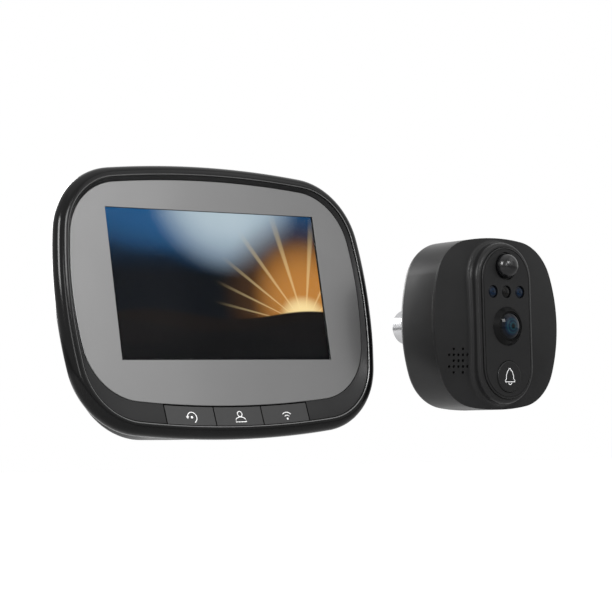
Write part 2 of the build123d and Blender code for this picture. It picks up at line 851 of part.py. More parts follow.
with BuildPart() as back_shell:
    with BuildSketch(street(-case_back_depth)):
        SoftRectangle(*case_outline)
    extrude(amount=case_back_depth - touch_gap)
    fillet(back_shell.edges().group_by(street_axis)[0], case_back_radius)
    with BuildSketch(street(case_wall - case_back_depth)):
        SoftRectangle(*grown(case_outline, -case_wall))
    extrude(amount=case_back_depth, mode=Mode.SUBTRACT)
    with BuildSketch(street(case_wall - case_back_depth)):
        with case_post_places:
            Circle(case_post_radius)
    extrude(amount=case_back_depth - case_wall + street_board_out - touch_gap)
    with BuildSketch(street(-case_back_depth)):
        with case_post_places:
            Circle(case_screw_head_radius + close_gap)
    extrude(amount=case_back_depth + case_screw_head_out, mode=Mode.SUBTRACT)
    with BuildSketch(street(-case_back_depth)):
        with case_post_places:
            Circle(case_screw_radius + touch_gap)
        with Locations((0, barrel_up)):
            Circle(barrel_neck_radius + touch_gap)
    extrude(amount=case_back_depth, mode=Mode.SUBTRACT)
    with BuildSketch(street(-gasket_depth)):
        SoftRectangle(*grown(case_outline, -gasket_inset))
        SoftRectangle(*grown(case_outline, -gasket_inset - gasket_width), mode=Mode.SUBTRACT)
    extrude(amount=gasket_depth, mode=Mode.SUBTRACT)
save(back_shell, "back_shell")

with BuildPart() as seam_gasket:
    with BuildSketch(street(touch_gap - gasket_depth)):
        SoftRectangle(*grown(case_outline, -gasket_inset - touch_gap))
        SoftRectangle(*grown(case_outline, touch_gap - gasket_inset - gasket_width), mode=Mode.SUBTRACT)
    extrude(amount=gasket_depth - 2 * touch_gap)
save(seam_gasket, "seam_gasket")

with BuildPart() as door_pad:
    with BuildSketch(street(-case_back_depth - pad_thickness)):
        SoftRectangle(*grown(case_outline, -pad_margin))
        with Locations((0, barrel_up)):
            Circle(barrel_neck_radius + free_gap, mode=Mode.SUBTRACT)
        with case_post_places:
            Circle(case_screw_head_radius + free_gap, mode=Mode.SUBTRACT)
    extrude(amount=pad_thickness)
save(door_pad, "door_pad")

# Polished barrel, held inside the casing by its flange
with BuildPart() as entry_barrel:
    barrel_end_out = -case_back_depth - barrel_length
    with BuildSketch(street(barrel_end_out)):
        with Locations((0, barrel_up)):
            Circle(barrel_radius)
    extrude(amount=barrel_length + case_wall + touch_gap)
    chamfer(entry_barrel.edges().group_by(street_axis)[0], barrel_chamfer)
    with BuildSketch(street(-case_back_depth - pad_thickness)):
        with Locations((0, barrel_up)):
            Circle(barrel_neck_radius)
    extrude(amount=pad_thickness + case_wall + touch_gap)
    with BuildSketch(street(case_wall + touch_gap - case_back_depth)):
        with Locations((0, barrel_up)):
            Circle(barrel_flange_radius)
    extrude(amount=barrel_flange_thickness)
    with BuildSketch(street(barrel_end_out)):
        with Locations((0, barrel_up)):
            Circle(barrel_bore_radius)
    extrude(amount=barrel_length + case_back_depth, mode=Mode.SUBTRACT)
save(entry_barrel, "entry_barrel")

with BuildPart() as shell_screws:
    with BuildSketch(street(case_screw_head_out)):
        with case_post_places:
            Circle(case_screw_head_radius)
    extrude(amount=-case_screw_head_height)
    with BuildSketch(street(case_screw_head_out)):
        with case_post_places:
            Circle(case_screw_radius)
    extrude(amount=case_screw_length)
    with BuildSketch(street(case_screw_head_out - case_screw_head_height)):
        with case_post_places:
            RegularPolygon(case_screw_radius, screw_drive_sides)
    extrude(amount=case_screw_head_height / 2, mode=Mode.SUBTRACT)
save(shell_screws, "shell_screws")

# Circuit board of the outdoor unit and what stands on it
street_board_top = street_board_out + street_board_thickness
with BuildPart() as outdoor_board:
    with BuildSketch(street(street_board_out)):
        RectangleRounded(street_board_width, street_board_height, street_board_corner)
        with case_post_places:
            Circle(case_screw_radius + touch_gap, mode=Mode.SUBTRACT)
    extrude(amount=street_board_thickness)
save(outdoor_board, "outdoor_board")

with BuildPart() as outdoor_speaker:
    with BuildSketch(street(street_board_top)):
        with Locations((grille_right, grille_up)):
            RectangleRounded(street_speaker_width, street_speaker_height, street_speaker_corner)
    extrude(amount=street_speaker_thickness)
    with BuildSketch(street(street_board_top + street_speaker_thickness)):
        with Locations((grille_right, grille_up)):
            Circle(street_speaker_cone_radius)
    extrude(amount=-street_speaker_cone_depth, taper=street_speaker_cone_taper, mode=Mode.SUBTRACT)
save(outdoor_speaker, "outdoor_speaker")

with BuildPart() as outdoor_microphone:
    with BuildSketch(street(street_board_top)):
        with Locations((street_microphone_right, street_microphone_up)):
            Circle(street_microphone_radius)
    extrude(amount=street_microphone_thickness)
save(outdoor_microphone, "outdoor_microphone")

with BuildPart() as cable_socket:
    with BuildSketch(street(street_board_out)):
        with Locations((0, barrel_up)):
            Rectangle(cable_socket_width, cable_socket_height)
    extrude(amount=-cable_socket_thickness)
    with BuildSketch(street(street_board_out - cable_socket_thickness)):
        with Locations((0, barrel_up)):
            Rectangle(cable_socket_width - 2 * socket_wall, cable_socket_height / 2)
    extrude(amount=cable_socket_thickness / 2, mode=Mode.SUBTRACT)
save(cable_socket, "cable_socket")

# Stadium panel that fills the nose
with BuildPart() as front_panel:
    with BuildSketch(street(panel_out)):
        SlotOverall(panel_height, panel_width, rotation=90)
    extrude(amount=panel_thickness)
    fillet(front_panel.edges().group_by(street_axis)[-1], panel_edge_radius)
    with BuildSketch(street(panel_top)):
        SlotOverall(panel_height - 2 * panel_line_inset, panel_width - 2 * panel_line_inset, rotation=90)
        SlotOverall(
            panel_height - 2 * (panel_line_inset + panel_line_width),
            panel_width - 2 * (panel_line_inset + panel_line_width),
            rotation=90,
            mode=Mode.SUBTRACT,
        )
    extrude(amount=-panel_line_depth, mode=Mode.SUBTRACT)
    with BuildSketch(street(panel_out)):
        with Locations((0, lens_up)):
            Circle(lens_bezel_radius + touch_gap)
        with Locations((0, pir_up)):
            Circle(pir_hole_radius)
        with Locations((0, window_up)):
            with GridLocations(window_pitch, 0, window_count, 1):
                Circle(window_radius + touch_gap)
        with Locations((0, button_up)):
            Circle(button_radius + close_gap)
    extrude(amount=panel_thickness, mode=Mode.SUBTRACT)
save(front_panel, "front_panel")

# Camera, from the lens bezel down to the image sensor
with BuildPart() as lens_bezel:
    with BuildSketch(street(panel_out)):
        with Locations((0, lens_up)):
            Circle(lens_bezel_radius)
    extrude(amount=panel_thickness)
    with BuildSketch(street(panel_top)):
        with Locations((0, lens_up)):
            Circle(lens_bezel_radius)
    with BuildSketch(street(panel_top + lens_cone_rise)):
        with Locations((0, lens_up)):
            Circle(lens_cone_radius)
    loft()
    with BuildSketch(street(panel_out)):
        with Locations((0, lens_up)):
            Circle(lens_opening_radius)
    extrude(amount=panel_thickness + lens_cone_rise, mode=Mode.SUBTRACT)
save(lens_bezel, "lens_bezel")


def domed_disc(place, rim_out, radius, sag, thickness):
    """Round disc whose street side swells to a spherical cap."""
    middle = street(rim_out).from_local_coords(Vector(*place))
    with BuildPart() as disc:
        with BuildSketch(Plane(origin=middle, x_dir=(1, 0, 0), z_dir=(0, 0, 1))):
            with BuildLine():
                Polyline((0, -sag), (0, thickness), (radius, thickness), (radius, 0))
                TangentArc((0, -sag), (radius, 0), tangent=(1, 0))
            make_face()
        revolve(axis=Axis(middle, (0, -1, 0)))
    return disc


lens_glass_rim = panel_top + lens_cone_rise - lens_glass_sink
lens_glass = domed_disc((0, lens_up), lens_glass_rim, lens_glass_radius, lens_glass_sag,
                        lens_glass_thickness)
save(lens_glass, "lens_glass")

with BuildPart() as lens_barrel:
    barrel_foot = street_board_top + sensor_thickness + free_gap
    with BuildSketch(street(barrel_foot)):
        with Locations((0, lens_up)):
            Circle(lens_barrel_radius)
    extrude(amount=lens_glass_rim - lens_glass_thickness - barrel_foot - touch_gap)
    with BuildSketch(street(barrel_foot)):
        with Locations((0, lens_up)):
            Circle(sensor_size / 2)
    extrude(amount=sensor_size / 2, mode=Mode.SUBTRACT)
save(lens_barrel, "lens_barrel")

with BuildPart() as lens_holder:
    with BuildSketch(street(street_board_top)):
        with Locations((0, lens_up)):
            Rectangle(holder_size, holder_size)
            Circle(lens_barrel_radius + touch_gap, mode=Mode.SUBTRACT)
    extrude(amount=-street_board_top - touch_gap)
save(lens_holder, "lens_holder")

with BuildPart() as image_sensor:
    with BuildSketch(street(street_board_top)):
        with Locations((0, lens_up)):
            Rectangle(sensor_size, sensor_size)
    extrude(amount=sensor_thickness)
save(image_sensor, "image_sensor")

# Three small windows and what is behind them
left_lens, sensor_window, right_lens = [
    domed_disc((side * window_pitch, window_up), panel_top - window_sag, window_radius, window_sag,
               panel_thickness - window_sag)
    for side in (-1, 0, 1)
]
with BuildPart() as led_lenses:
    add([left_lens.part, right_lens.part])
save(led_lenses, "led_lenses")
save(sensor_window, "sensor_window")

with BuildPart() as ir_emitters:
    with BuildSketch(street(street_board_top)):
        with Locations((-window_pitch, window_up), (window_pitch, window_up)):
            Rectangle(emitter_size, emitter_size)
    extrude(amount=emitter_thickness)
save(ir_emitters, "ir_emitters")

with BuildPart() as light_sensor:
    with BuildSketch(street(street_board_top)):
        with Locations((0, window_up)):
            Rectangle(emitter_size / 2, emitter_size)
    extrude(amount=emitter_thickness / 2)
save(light_sensor, "light_sensor")

# Motion sensor and its glossy dome
with BuildPart() as pir_sensor:
    with BuildSketch(street(street_board_top)):
        with Locations((0, pir_up)):
            Circle(pir_sensor_radius)
    extrude(amount=pir_sensor_height)
save(pir_sensor, "pir_sensor")

with BuildPart() as pir_dome:
    with BuildSketch(street(panel_out)):
        with Locations((0, pir_up)):
            Circle(pir_foot_radius)
    extrude(amount=pir_foot_thickness)
    with Locations(street(panel_top - pir_dome_rise).from_local_coords(Vector(0, pir_up))):
        Sphere(pir_dome_radius)
    split(bisect_by=street(panel_out), keep=Keep.TOP)
save(pir_dome, "pir_dome")

# Bell button and its switch
with BuildPart() as bell_button:
    with BuildSketch(street(panel_top + button_proud - button_thickness)):
        with Locations((0, button_up)):
            Circle(button_radius)
    extrude(amount=button_thickness)
    fillet(bell_button.edges().group_by(street_axis)[-1], button_edge_radius)
    button_stem_end = (street_board_top + button_switch_height + button_plunger_height
                       + button_travel + touch_gap)
    with BuildSketch(street(button_stem_end)):
        with Locations((0, button_up)):
            Circle(button_stem_radius)
    extrude(amount=panel_top + button_proud - button_thickness - button_stem_end)
save(bell_button, "bell_button")

with BuildPart() as bell_switch:
    with BuildSketch(street(street_board_top)):
        with Locations((0, button_up)):
            Rectangle(button_switch_size, button_switch_size)
    extrude(amount=button_switch_height)
    with BuildSketch(street(street_board_top + button_switch_height)):
        with Locations((0, button_up)):
            Circle(button_plunger_radius)
    extrude(amount=button_plunger_height)
save(bell_switch, "bell_switch")
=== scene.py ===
"""Looks of a peephole door camera: its finishes, its fine shapes and the studio round it.

The set is an indoor monitor that leans back and an upright outdoor unit. Lengths are in metres.
"""

import json
import logging
import math
from dataclasses import dataclass, replace
from enum import Enum

import bmesh
import bpy
from mathutils import Matrix, Vector
from mathutils.bvhtree import BVHTree


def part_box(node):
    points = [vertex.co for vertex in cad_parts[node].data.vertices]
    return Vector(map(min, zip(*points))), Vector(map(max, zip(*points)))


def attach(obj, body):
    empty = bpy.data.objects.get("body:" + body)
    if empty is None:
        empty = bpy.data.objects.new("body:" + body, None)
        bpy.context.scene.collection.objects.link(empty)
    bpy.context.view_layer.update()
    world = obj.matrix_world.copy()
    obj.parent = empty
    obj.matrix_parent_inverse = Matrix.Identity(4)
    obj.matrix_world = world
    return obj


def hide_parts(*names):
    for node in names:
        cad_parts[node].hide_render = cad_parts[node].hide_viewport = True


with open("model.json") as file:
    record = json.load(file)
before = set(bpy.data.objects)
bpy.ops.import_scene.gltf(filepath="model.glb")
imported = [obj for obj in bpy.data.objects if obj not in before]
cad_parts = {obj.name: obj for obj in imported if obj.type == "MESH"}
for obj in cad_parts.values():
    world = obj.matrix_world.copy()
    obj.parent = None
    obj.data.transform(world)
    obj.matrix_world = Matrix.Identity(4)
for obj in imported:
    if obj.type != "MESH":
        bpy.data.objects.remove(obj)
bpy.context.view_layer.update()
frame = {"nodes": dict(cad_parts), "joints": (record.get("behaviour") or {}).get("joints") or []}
MM = 0.001
NEAR = 0.001 * MM
INK_THICKNESS = 0.03 * MM
RAY_START = 5 * MM
EDGE_SAMPLES = 6
KEYS = ("left_key", "centre_key", "right_key")
log = logging.getLogger("door_camera")

Colour = tuple[float, float, float]
Socket = bpy.types.NodeSocket


class Body(Enum):
    """The bodies that pieces ride on."""

    DOOR_SIDE = "door_side"
    DISPLAY = "display"
    LEFT_KEY = "left_key"
    CENTRE_KEY = "centre_key"
    RIGHT_KEY = "right_key"
    BELL = "bell_button"


@dataclass(frozen=True)
class Extent:
    """Lowest and highest corner of a node, in its unit's right, up and out."""

    low: Vector
    high: Vector

    @property
    def middle(self) -> Vector:
        """The point halfway between the corners."""
        return (self.low + self.high) / 2


@dataclass(frozen=True)
class Stand:
    """Where a unit stands and how it leans."""

    origin: Vector
    right: Vector
    up: Vector
    out: Vector

    @property
    def matrix(self) -> Matrix:
        """Turns a place in right, up and out into a place in the frame."""
        turned = Matrix((self.right, self.up, self.out)).transposed().to_4x4()
        return Matrix.Translation(self.origin) @ turned

    def extent(self, node: str) -> Extent:
        """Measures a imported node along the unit's own directions.

        Args:
            node: Name of the node.

        Returns:
            The node's corners in right, up and out.
        """
        back = self.matrix.inverted()
        places = [back @ v.co for v in frame["nodes"][node].data.vertices]
        low = Vector([min(p[i] for p in places) for i in range(3)])
        high = Vector([max(p[i] for p in places) for i in range(3)])
        return Extent(low, high)

    def front(self, node: str) -> float:
        """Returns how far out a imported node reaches."""
        return self.extent(node).high.z


def joint_axis(name: str) -> Vector:
    """Finds the axis of a joint.

    Args:
        name: Name of the joint.

    Returns:
        The axis as a vector of length one.
    """
    for joint in frame["joints"]:
        if joint["name"] == name:
            return Vector(joint["axis"]).normalized()
    raise KeyError(name)


def indoor_stand() -> Stand:
    """Finds the monitor's stand, which leans back along its lift.

    Returns:
        The stand.
    """
    right = Vector((1, 0, 0))
    up = joint_axis("display_lift")
    return Stand(Vector((0, 0, 0)), right, up, right.cross(up))


def street_stand() -> Stand:
    """Finds the outdoor unit's stand, centred on its casing.

    Returns:
        The stand.
    """
    low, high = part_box("front_shell")
    middle = (low + high) / 2
    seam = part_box("seam_gasket")[0].y
    out = -joint_axis("bell_press")
    return Stand(Vector((middle.x, seam, middle.z)), Vector((1, 0, 0)), Vector((0, 0, 1)), out)


@dataclass(frozen=True)
class SoftOutline:
    """Rounded rectangle whose sides are gently arched, as seen from the front."""

    width: float
    height: float
    end_radius: float
    side_radius: float
    corner_radius: float
    rise: float = 0.0
    end_steps: int = 28
    side_steps: int = 20
    corner_steps: int = 22

    def grown(self, margin: float) -> "SoftOutline":
        """Adds a margin all round.

        Args:
            margin: What is added, or taken off where it is negative.

        Returns:
            The larger or smaller outline.
        """
        return replace(
            self,
            width=self.width + 2 * margin,
            height=self.height + 2 * margin,
            end_radius=self.end_radius + margin,
            side_radius=self.side_radius + margin,
            corner_radius=self.corner_radius + margin,
        )

    @property
    def count(self) -> int:
        """How many points the outline has."""
        return 2 * (self.end_steps + self.side_steps) + 4 * self.corner_steps

    def points(self) -> list[Vector]:
        """Walks the eight arcs of the outline, anticlockwise from the right, as two like halves.

        Returns:
            The points in right and up, with an out of zero.
        """
        end_middle = self.height / 2 - self.end_radius
        side_middle = self.width / 2 - self.side_radius
        end_reach = self.end_radius - self.corner_radius
        side_reach = self.side_radius - self.corner_radius
        apart = math.hypot(side_middle, end_middle)
        along = (end_reach**2 - side_reach**2 + apart**2) / (2 * apart)
        across = math.sqrt(end_reach**2 - along**2)
        corner_right = (along * side_middle - across * end_middle) / apart
        corner_up = end_middle + (-along * end_middle - across * side_middle) / apart
        end_angle = math.atan2(corner_up - end_middle, corner_right)
        side_angle = math.atan2(corner_up, corner_right - side_middle)
        bend = end_angle - side_angle
        half, corner_steps = math.pi, self.corner_steps
        arcs = (
            (side_middle, 0, self.side_radius, -side_angle, 2 * side_angle, self.side_steps),
            (corner_right, corner_up, self.corner_radius, side_angle, bend, corner_steps),
            (0, end_middle, self.end_radius, end_angle, half - 2 * end_angle, self.end_steps),
            (-corner_right, corner_up, self.corner_radius, half - end_angle, bend, corner_steps),
        )
        found = []
        for turned in (1, -1):
            for middle, height, radius, start, sweep, steps in arcs:
                for step in range(steps):
                    angle = start + sweep * step / steps
                    right = middle + radius * math.cos(angle)
                    up = height + radius * math.sin(angle)
                    found.append(Vector((turned * right, self.rise + turned * up, 0)))
        return found

    def bottom_up(self, right: float) -> float:
        """Gives the height of the outline's lower side.

        Args:
            right: Distance to the right of the middle.

        Returns:
            The height there.
        """
        middle = self.end_radius - self.height / 2
        return self.rise + middle - math.sqrt(self.end_radius**2 - right**2)


class Workpiece:
    """Mesh of one piece while it is shaped, in its unit's right, up and out."""

    def __init__(self) -> None:
        """Starts an empty mesh."""
        self.mesh = bmesh.new()

    def ring(self, outline: SoftOutline, out: float) -> list[bmesh.types.BMVert]:
        """Starts a closed loop along an outline.

        Args:
            outline: The outline that the loop follows.
            out: Its height.

        Returns:
            The loop's vertices in order.
        """
        made = bmesh.ops.create_circle(self.mesh, segments=outline.count, radius=outline.width)
        verts = made["verts"]
        for vert, point in zip(verts, outline.points()):
            vert.co = point + Vector((0, 0, out))
        return verts

    def extruded(
        self, verts: list[bmesh.types.BMVert], edges: list[bmesh.types.BMEdge]
    ) -> list[bmesh.types.BMVert]:
        """Extrudes a row of edges in place.

        Args:
            verts: The row's vertices.
            edges: The row's edges.

        Returns:
            The new vertex over each of the vertices.
        """
        made = bmesh.ops.extrude_edge_only(self.mesh, edges=edges)
        fresh = {g for g in made["geom"] if isinstance(g, bmesh.types.BMVert)}
        partners = []
        for vert in verts:
            others = [edge.other_vert(vert) for edge in vert.link_edges]
            partners.append(next(other for other in others if other in fresh))
        return partners

    def carry_on(
        self, ring: list[bmesh.types.BMVert], outline: SoftOutline, out: float
    ) -> list[bmesh.types.BMVert]:
        """Extrudes a loop to the next outline of a profile.

        Args:
            ring: The loop so far.
            outline: The next outline.
            out: Its height.

        Returns:
            The new loop's vertices in order.
        """
        edges = [self.mesh.edges.get(pair) for pair in zip(ring, ring[1:] + ring[:1])]
        ordered = self.extruded(ring, edges)
        for vert, point in zip(ordered, outline.points()):
            vert.co = point + Vector((0, 0, out))
        return ordered

    def sweep(self, stations: list[tuple[SoftOutline, float]]) -> None:
        """Makes a skin through a list of outlines and their heights.

        Args:
            stations: Pairs of an outline and its height.
        """
        ring = self.ring(*stations[0])
        for outline, out in stations[1:]:
            ring = self.carry_on(ring, outline, out)

    def merge(self) -> None:
        """Joins the vertices that lie on each other."""
        bmesh.ops.remove_doubles(self.mesh, verts=self.mesh.verts, dist=NEAR)

    def cut(self, place: Vector, normal: Vector) -> None:
        """Cuts the faces along a plane and keeps both sides.

        Args:
            place: A point of the plane.
            normal: The plane's normal.
        """
        everything = list(self.mesh.verts) + list(self.mesh.edges) + list(self.mesh.faces)
        bmesh.ops.bisect_plane(
            self.mesh, geom=everything, dist=NEAR, plane_co=place, plane_no=normal
        )

    def finish(
        self, name: str, stand: Stand, body: Body, slot: str, *materials: bpy.types.Material,
        smooth_below: float = 35.0,
    ) -> bpy.types.Object:
        """Turns the mesh into a piece that rides on a body.

        Args:
            name: Name of the piece.
            stand: The unit that it belongs to.
            body: The body that it rides on.
            slot: Name of a material slot; not used.
            *materials: The finishes, in the order of the faces' material numbers.
            smooth_below: Edges flatter than this look smooth, in degrees.

        Returns:
            The piece.
        """
        bmesh.ops.recalc_face_normals(self.mesh, faces=self.mesh.faces)
        bmesh.ops.transform(self.mesh, matrix=stand.matrix, verts=self.mesh.verts)
        data = bpy.data.meshes.new(name)
        self.mesh.to_mesh(data)
        self.mesh.free()
        data.shade_smooth()
        data.set_sharp_from_angle(angle=math.radians(smooth_below))
        for material in materials:
            data.materials.append(material)
        piece = bpy.data.objects.new(name, data)
        bpy.context.scene.collection.objects.link(piece)
        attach(piece, body.value)
        log.info("piece %s on %s", name, body.value)
        return piece


def scaled(values: tuple[float, ...], share: float) -> tuple[float, ...]:
    """Returns each of the values times a share."""
    return tuple(value * share for value in values)


class Shading:
    """Node tree of one material, with short words for the nodes that the finishes share."""

    def __init__(self, name: str) -> None:
        """Starts a material with one surface shader.

        Args:
            name: Name of the material.
        """
        self.material = bpy.data.materials.new(name)
        self.material.use_nodes = True
        self.nodes = self.material.node_tree.nodes
        self.links = self.material.node_tree.links
        self.nodes.clear()
        output = self.nodes.new("ShaderNodeOutputMaterial")
        self.surface = self.nodes.new("ShaderNodeBsdfPrincipled")
        self.links.new(self.surface.outputs["BSDF"], output.inputs["Surface"])

    def feed(self, node: bpy.types.Node, socket: str | int, value: object) -> None:
        """Gives a socket a value or a link.

        Args:
            node: The node.
            socket: Name or number of its input.
            value: A number, a colour or another node's output.
        """
        if isinstance(value, bpy.types.NodeSocket):
            self.links.new(value, node.inputs[socket])
        else:
            node.inputs[socket].default_value = value

    def set(self, **values: object) -> None:
        """Sets inputs of the surface shader.

        Args:
            **values: Values by the input's name, its spaces written as underscores.
        """
        for name, value in values.items():
            if isinstance(value, tuple) and len(value) == 3:
                value = (*value, 1.0)
            self.feed(self.surface, name.replace("_", " "), value)

    def mapping(self) -> bpy.types.Node:
        """Adds a Mapping node that reads object coordinates.

        Returns:
            The node.
        """
        coordinates = self.nodes.new("ShaderNodeTexCoord")
        mapping = self.nodes.new("ShaderNodeMapping")
        self.links.new(coordinates.outputs["Object"], mapping.inputs["Vector"])
        return mapping

    def place(self, scale: tuple[float, float, float] = (1, 1, 1)) -> Socket:
        """Adds object coordinates, stretched along the axes.

        Args:
            scale: The stretch along each axis.

        Returns:
            The coordinates.
        """
        mapping = self.mapping()
        mapping.inputs["Scale"].default_value = scale
        return mapping.outputs["Vector"]

    def local(self, stand: Stand, middle: Vector, size: float = 1.0) -> Socket:
        """Adds a unit's right, up and out, centred on a point and divided by a size.

        Args:
            stand: The unit's stand.
            middle: The point.
            size: The size.

        Returns:
            The coordinates.
        """
        mapping = self.mapping()
        turned = stand.matrix.to_3x3().transposed()
        mapping.inputs["Scale"].default_value = (1 / size,) * 3
        mapping.inputs["Rotation"].default_value = turned.to_euler()
        mapping.inputs["Location"].default_value = -(turned @ (stand.matrix @ middle)) / size
        return mapping.outputs["Vector"]

    def parts(self, place: Socket) -> tuple[Socket, Socket, Socket]:
        """Splits a vector.

        Args:
            place: The vector.

        Returns:
            Its three parts.
        """
        split = self.nodes.new("ShaderNodeSeparateXYZ")
        self.links.new(place, split.inputs["Vector"])
        return split.outputs["X"], split.outputs["Y"], split.outputs["Z"]

    def reach(self, place: Socket) -> Socket:
        """Returns how far a place is from the axis that points out."""
        right, up, _ = self.parts(place)
        return self.sum("SQRT", self.square_sum(right, up))

    def square_sum(self, first: Socket, second: Socket) -> Socket:
        """Returns the sum of the squares of two values."""
        squares = [self.sum("MULTIPLY", value, value) for value in (first, second)]
        return self.sum("ADD", *squares)

    def noise(self, size: float, detail: float = 3.0, place: Socket | None = None) -> Socket:
        """Adds a noise.

        Args:
            size: Size of its lumps.
            detail: How many finer layers it has.
            place: Coordinates that it follows, the object's own if there are none.

        Returns:
            The noise, between 0 and 1.
        """
        node = self.nodes.new("ShaderNodeTexNoise")
        node.inputs["Scale"].default_value = 1 / size
        node.inputs["Detail"].default_value = detail
        self.links.new(place or self.place(), node.inputs["Vector"])
        return node.outputs["Fac"]

    def spread(
        self, source: Socket, low: float, high: float, start: float = 0.3, end: float = 0.7
    ) -> Socket:
        """Maps a value from one range to another.

        Args:
            source: The value.
            low: What the start becomes.
            high: What the end becomes.
            start: Start of the value's range.
            end: End of the value's range.

        Returns:
            The mapped value.
        """
        node = self.nodes.new("ShaderNodeMapRange")
        node.interpolation_type = "SMOOTHSTEP"
        self.links.new(source, node.inputs["Value"])
        names = ("From Min", "From Max", "To Min", "To Max")
        for name, value in zip(names, (start, end, low, high)):
            node.inputs[name].default_value = value
        return node.outputs["Result"]

    def blend(self, share: Socket | float, first: object, second: object) -> Socket:
        """Blends two colours.

        Args:
            share: Share of the second colour.
            first: The first colour.
            second: The second colour.

        Returns:
            The blend.
        """
        node = self.nodes.new("ShaderNodeMix")
        node.data_type = "RGBA"
        self.feed(node, 0, share)
        for number, colour in ((6, first), (7, second)):
            self.feed(node, number, (*colour, 1.0) if isinstance(colour, tuple) else colour)
        return node.outputs[2]

    def sum(self, operation: str, first: object, second: object = 0.0) -> Socket:
        """Adds a sum.

        Args:
            operation: What is done with the values.
            first: The first value.
            second: The second value.

        Returns:
            The result.
        """
        node = self.nodes.new("ShaderNodeMath")
        node.operation = operation
        self.feed(node, 0, first)
        self.feed(node, 1, second)
        return node.outputs[0]

    def relief(self, height: Socket, depth: float, edge_radius: float = 0.0) -> None:
        """Gives the surface a fine relief, and may round its edges.

        Args:
            height: Height between 0 and 1.
            depth: Depth of the relief.
            edge_radius: Radius of the rounding that the edges show.
        """
        bump = self.nodes.new("ShaderNodeBump")
        bump.inputs["Distance"].default_value = depth
        bump.inputs["Strength"].default_value = 1.0
        self.links.new(height, bump.inputs["Height"])
        if edge_radius:
            rounding = self.nodes.new("ShaderNodeBevel")
            rounding.samples = EDGE_SAMPLES
            rounding.inputs["Radius"].default_value = edge_radius
            self.links.new(rounding.outputs["Normal"], bump.inputs["Normal"])
        self.links.new(bump.outputs["Normal"], self.surface.inputs["Normal"])


@dataclass(frozen=True)
class MouldedPlastic:
    """Plastic from a mould, with the mould's grain and a slightly uneven sheen."""

    name: str
    colour: Colour
    roughness: float
    grain: float = 0.16 * MM
    grain_depth: float = 0.004 * MM
    unevenness: float = 0.12
    specular: float = 0.2
    edge_radius: float = 0.12 * MM
    cloud_size: float = 22 * MM
    roughness_range: tuple[float, float] = (0.93, 1.07)

    def material(self) -> bpy.types.Material:
        """Makes the finish.

        Returns:
            The finish as a material.
        """
        made = Shading(self.name)
        cloud = made.noise(self.cloud_size, 2)
        fine = made.noise(self.grain, 2)
        darker, lighter = (scaled(self.colour, 1 + s * self.unevenness) for s in (-1, 1))
        made.set(
            Base_Color=made.blend(made.spread(cloud, 0, 1), darker, lighter),
            Roughness=made.spread(cloud, *scaled(self.roughness_range, self.roughness)),
            Specular_IOR_Level=self.specular,
        )
        made.relief(fine, self.grain_depth, self.edge_radius)
        return made.material


@dataclass(frozen=True)
class WorkedMetal:
    """Metal with the fine lines of its brush or lathe along one direction."""

    name: str
    colour: Colour
    roughness: float
    line_width: float = 0.09 * MM
    line_stretch: tuple[float, float, float] = (0.04, 1, 1)
    line_depth: float = 0.0015 * MM
    edge_radius: float = 0.1 * MM
    cloud_size: float = 9 * MM
    dullness: float = 0.86
    roughness_range: tuple[float, float] = (0.8, 1.25)

    def material(self) -> bpy.types.Material:
        """Makes the finish.

        Returns:
            The finish as a material.
        """
        made = Shading(self.name)
        lines = made.noise(self.line_width, 2, made.place(self.line_stretch))
        cloud = made.noise(self.cloud_size, 2)
        duller = scaled(self.colour, self.dullness)
        made.set(
            Base_Color=made.blend(made.spread(cloud, 0, 1), duller, self.colour),
            Metallic=1.0,
            Roughness=made.spread(lines, *scaled(self.roughness_range, self.roughness)),
        )
        made.relief(lines, self.line_depth, self.edge_radius)
        return made.material


@dataclass(frozen=True)
class CircuitBoard:
    """Solder mask over a web of copper tracks."""

    name: str
    mask: Colour = (0.012, 0.085, 0.035)
    track: Colour = (0.03, 0.17, 0.07)
    track_pitch: float = 1.3 * MM
    track_edge: tuple[float, float] = (0.06, 0.1)
    track_height: float = 0.02 * MM
    roughness: float = 0.32

    def material(self) -> bpy.types.Material:
        """Makes the finish.

        Returns:
            The finish as a material.
        """
        made = Shading(self.name)
        cells = made.nodes.new("ShaderNodeTexVoronoi")
        cells.feature = "DISTANCE_TO_EDGE"
        cells.inputs["Scale"].default_value = 1 / self.track_pitch
        made.links.new(made.place(), cells.inputs["Vector"])
        track = made.spread(cells.outputs["Distance"], 1, 0, *self.track_edge)
        made.set(Base_Color=made.blend(track, self.mask, self.track), Roughness=self.roughness)
        made.relief(track, self.track_height)
        return made.material


@dataclass(frozen=True)
class MirrorGrey:
    """Grey half-mirror on the back of the cover glass, with the faint veil of its coating."""

    name: str
    colour: Colour = (0.155, 0.155, 0.155)
    roughness: float = 0.3
    roughness_range: tuple[float, float] = (0.97, 1.03)
    metallic: float = 0.8
    coat: float = 0.25
    coat_roughness: float = 0.08
    veil_size: float = 30 * MM
    veil_gain: float = 1.04
    ripple_size: float = 6 * MM
    ripple_depth: float = 0.0006 * MM

    def material(self) -> bpy.types.Material:
        """Makes the finish.

        Returns:
            The finish as a material.
        """
        made = Shading(self.name)
        veil = made.noise(self.veil_size, 2)
        pale = scaled(self.colour, self.veil_gain)
        made.set(
            Base_Color=made.blend(made.spread(veil, 0, 1), self.colour, pale),
            Metallic=self.metallic,
            Roughness=made.spread(veil, *scaled(self.roughness_range, self.roughness)),
            Coat_Weight=self.coat,
            Coat_Roughness=self.coat_roughness,
        )
        made.relief(made.noise(self.ripple_size, 1), self.ripple_depth)
        return made.material


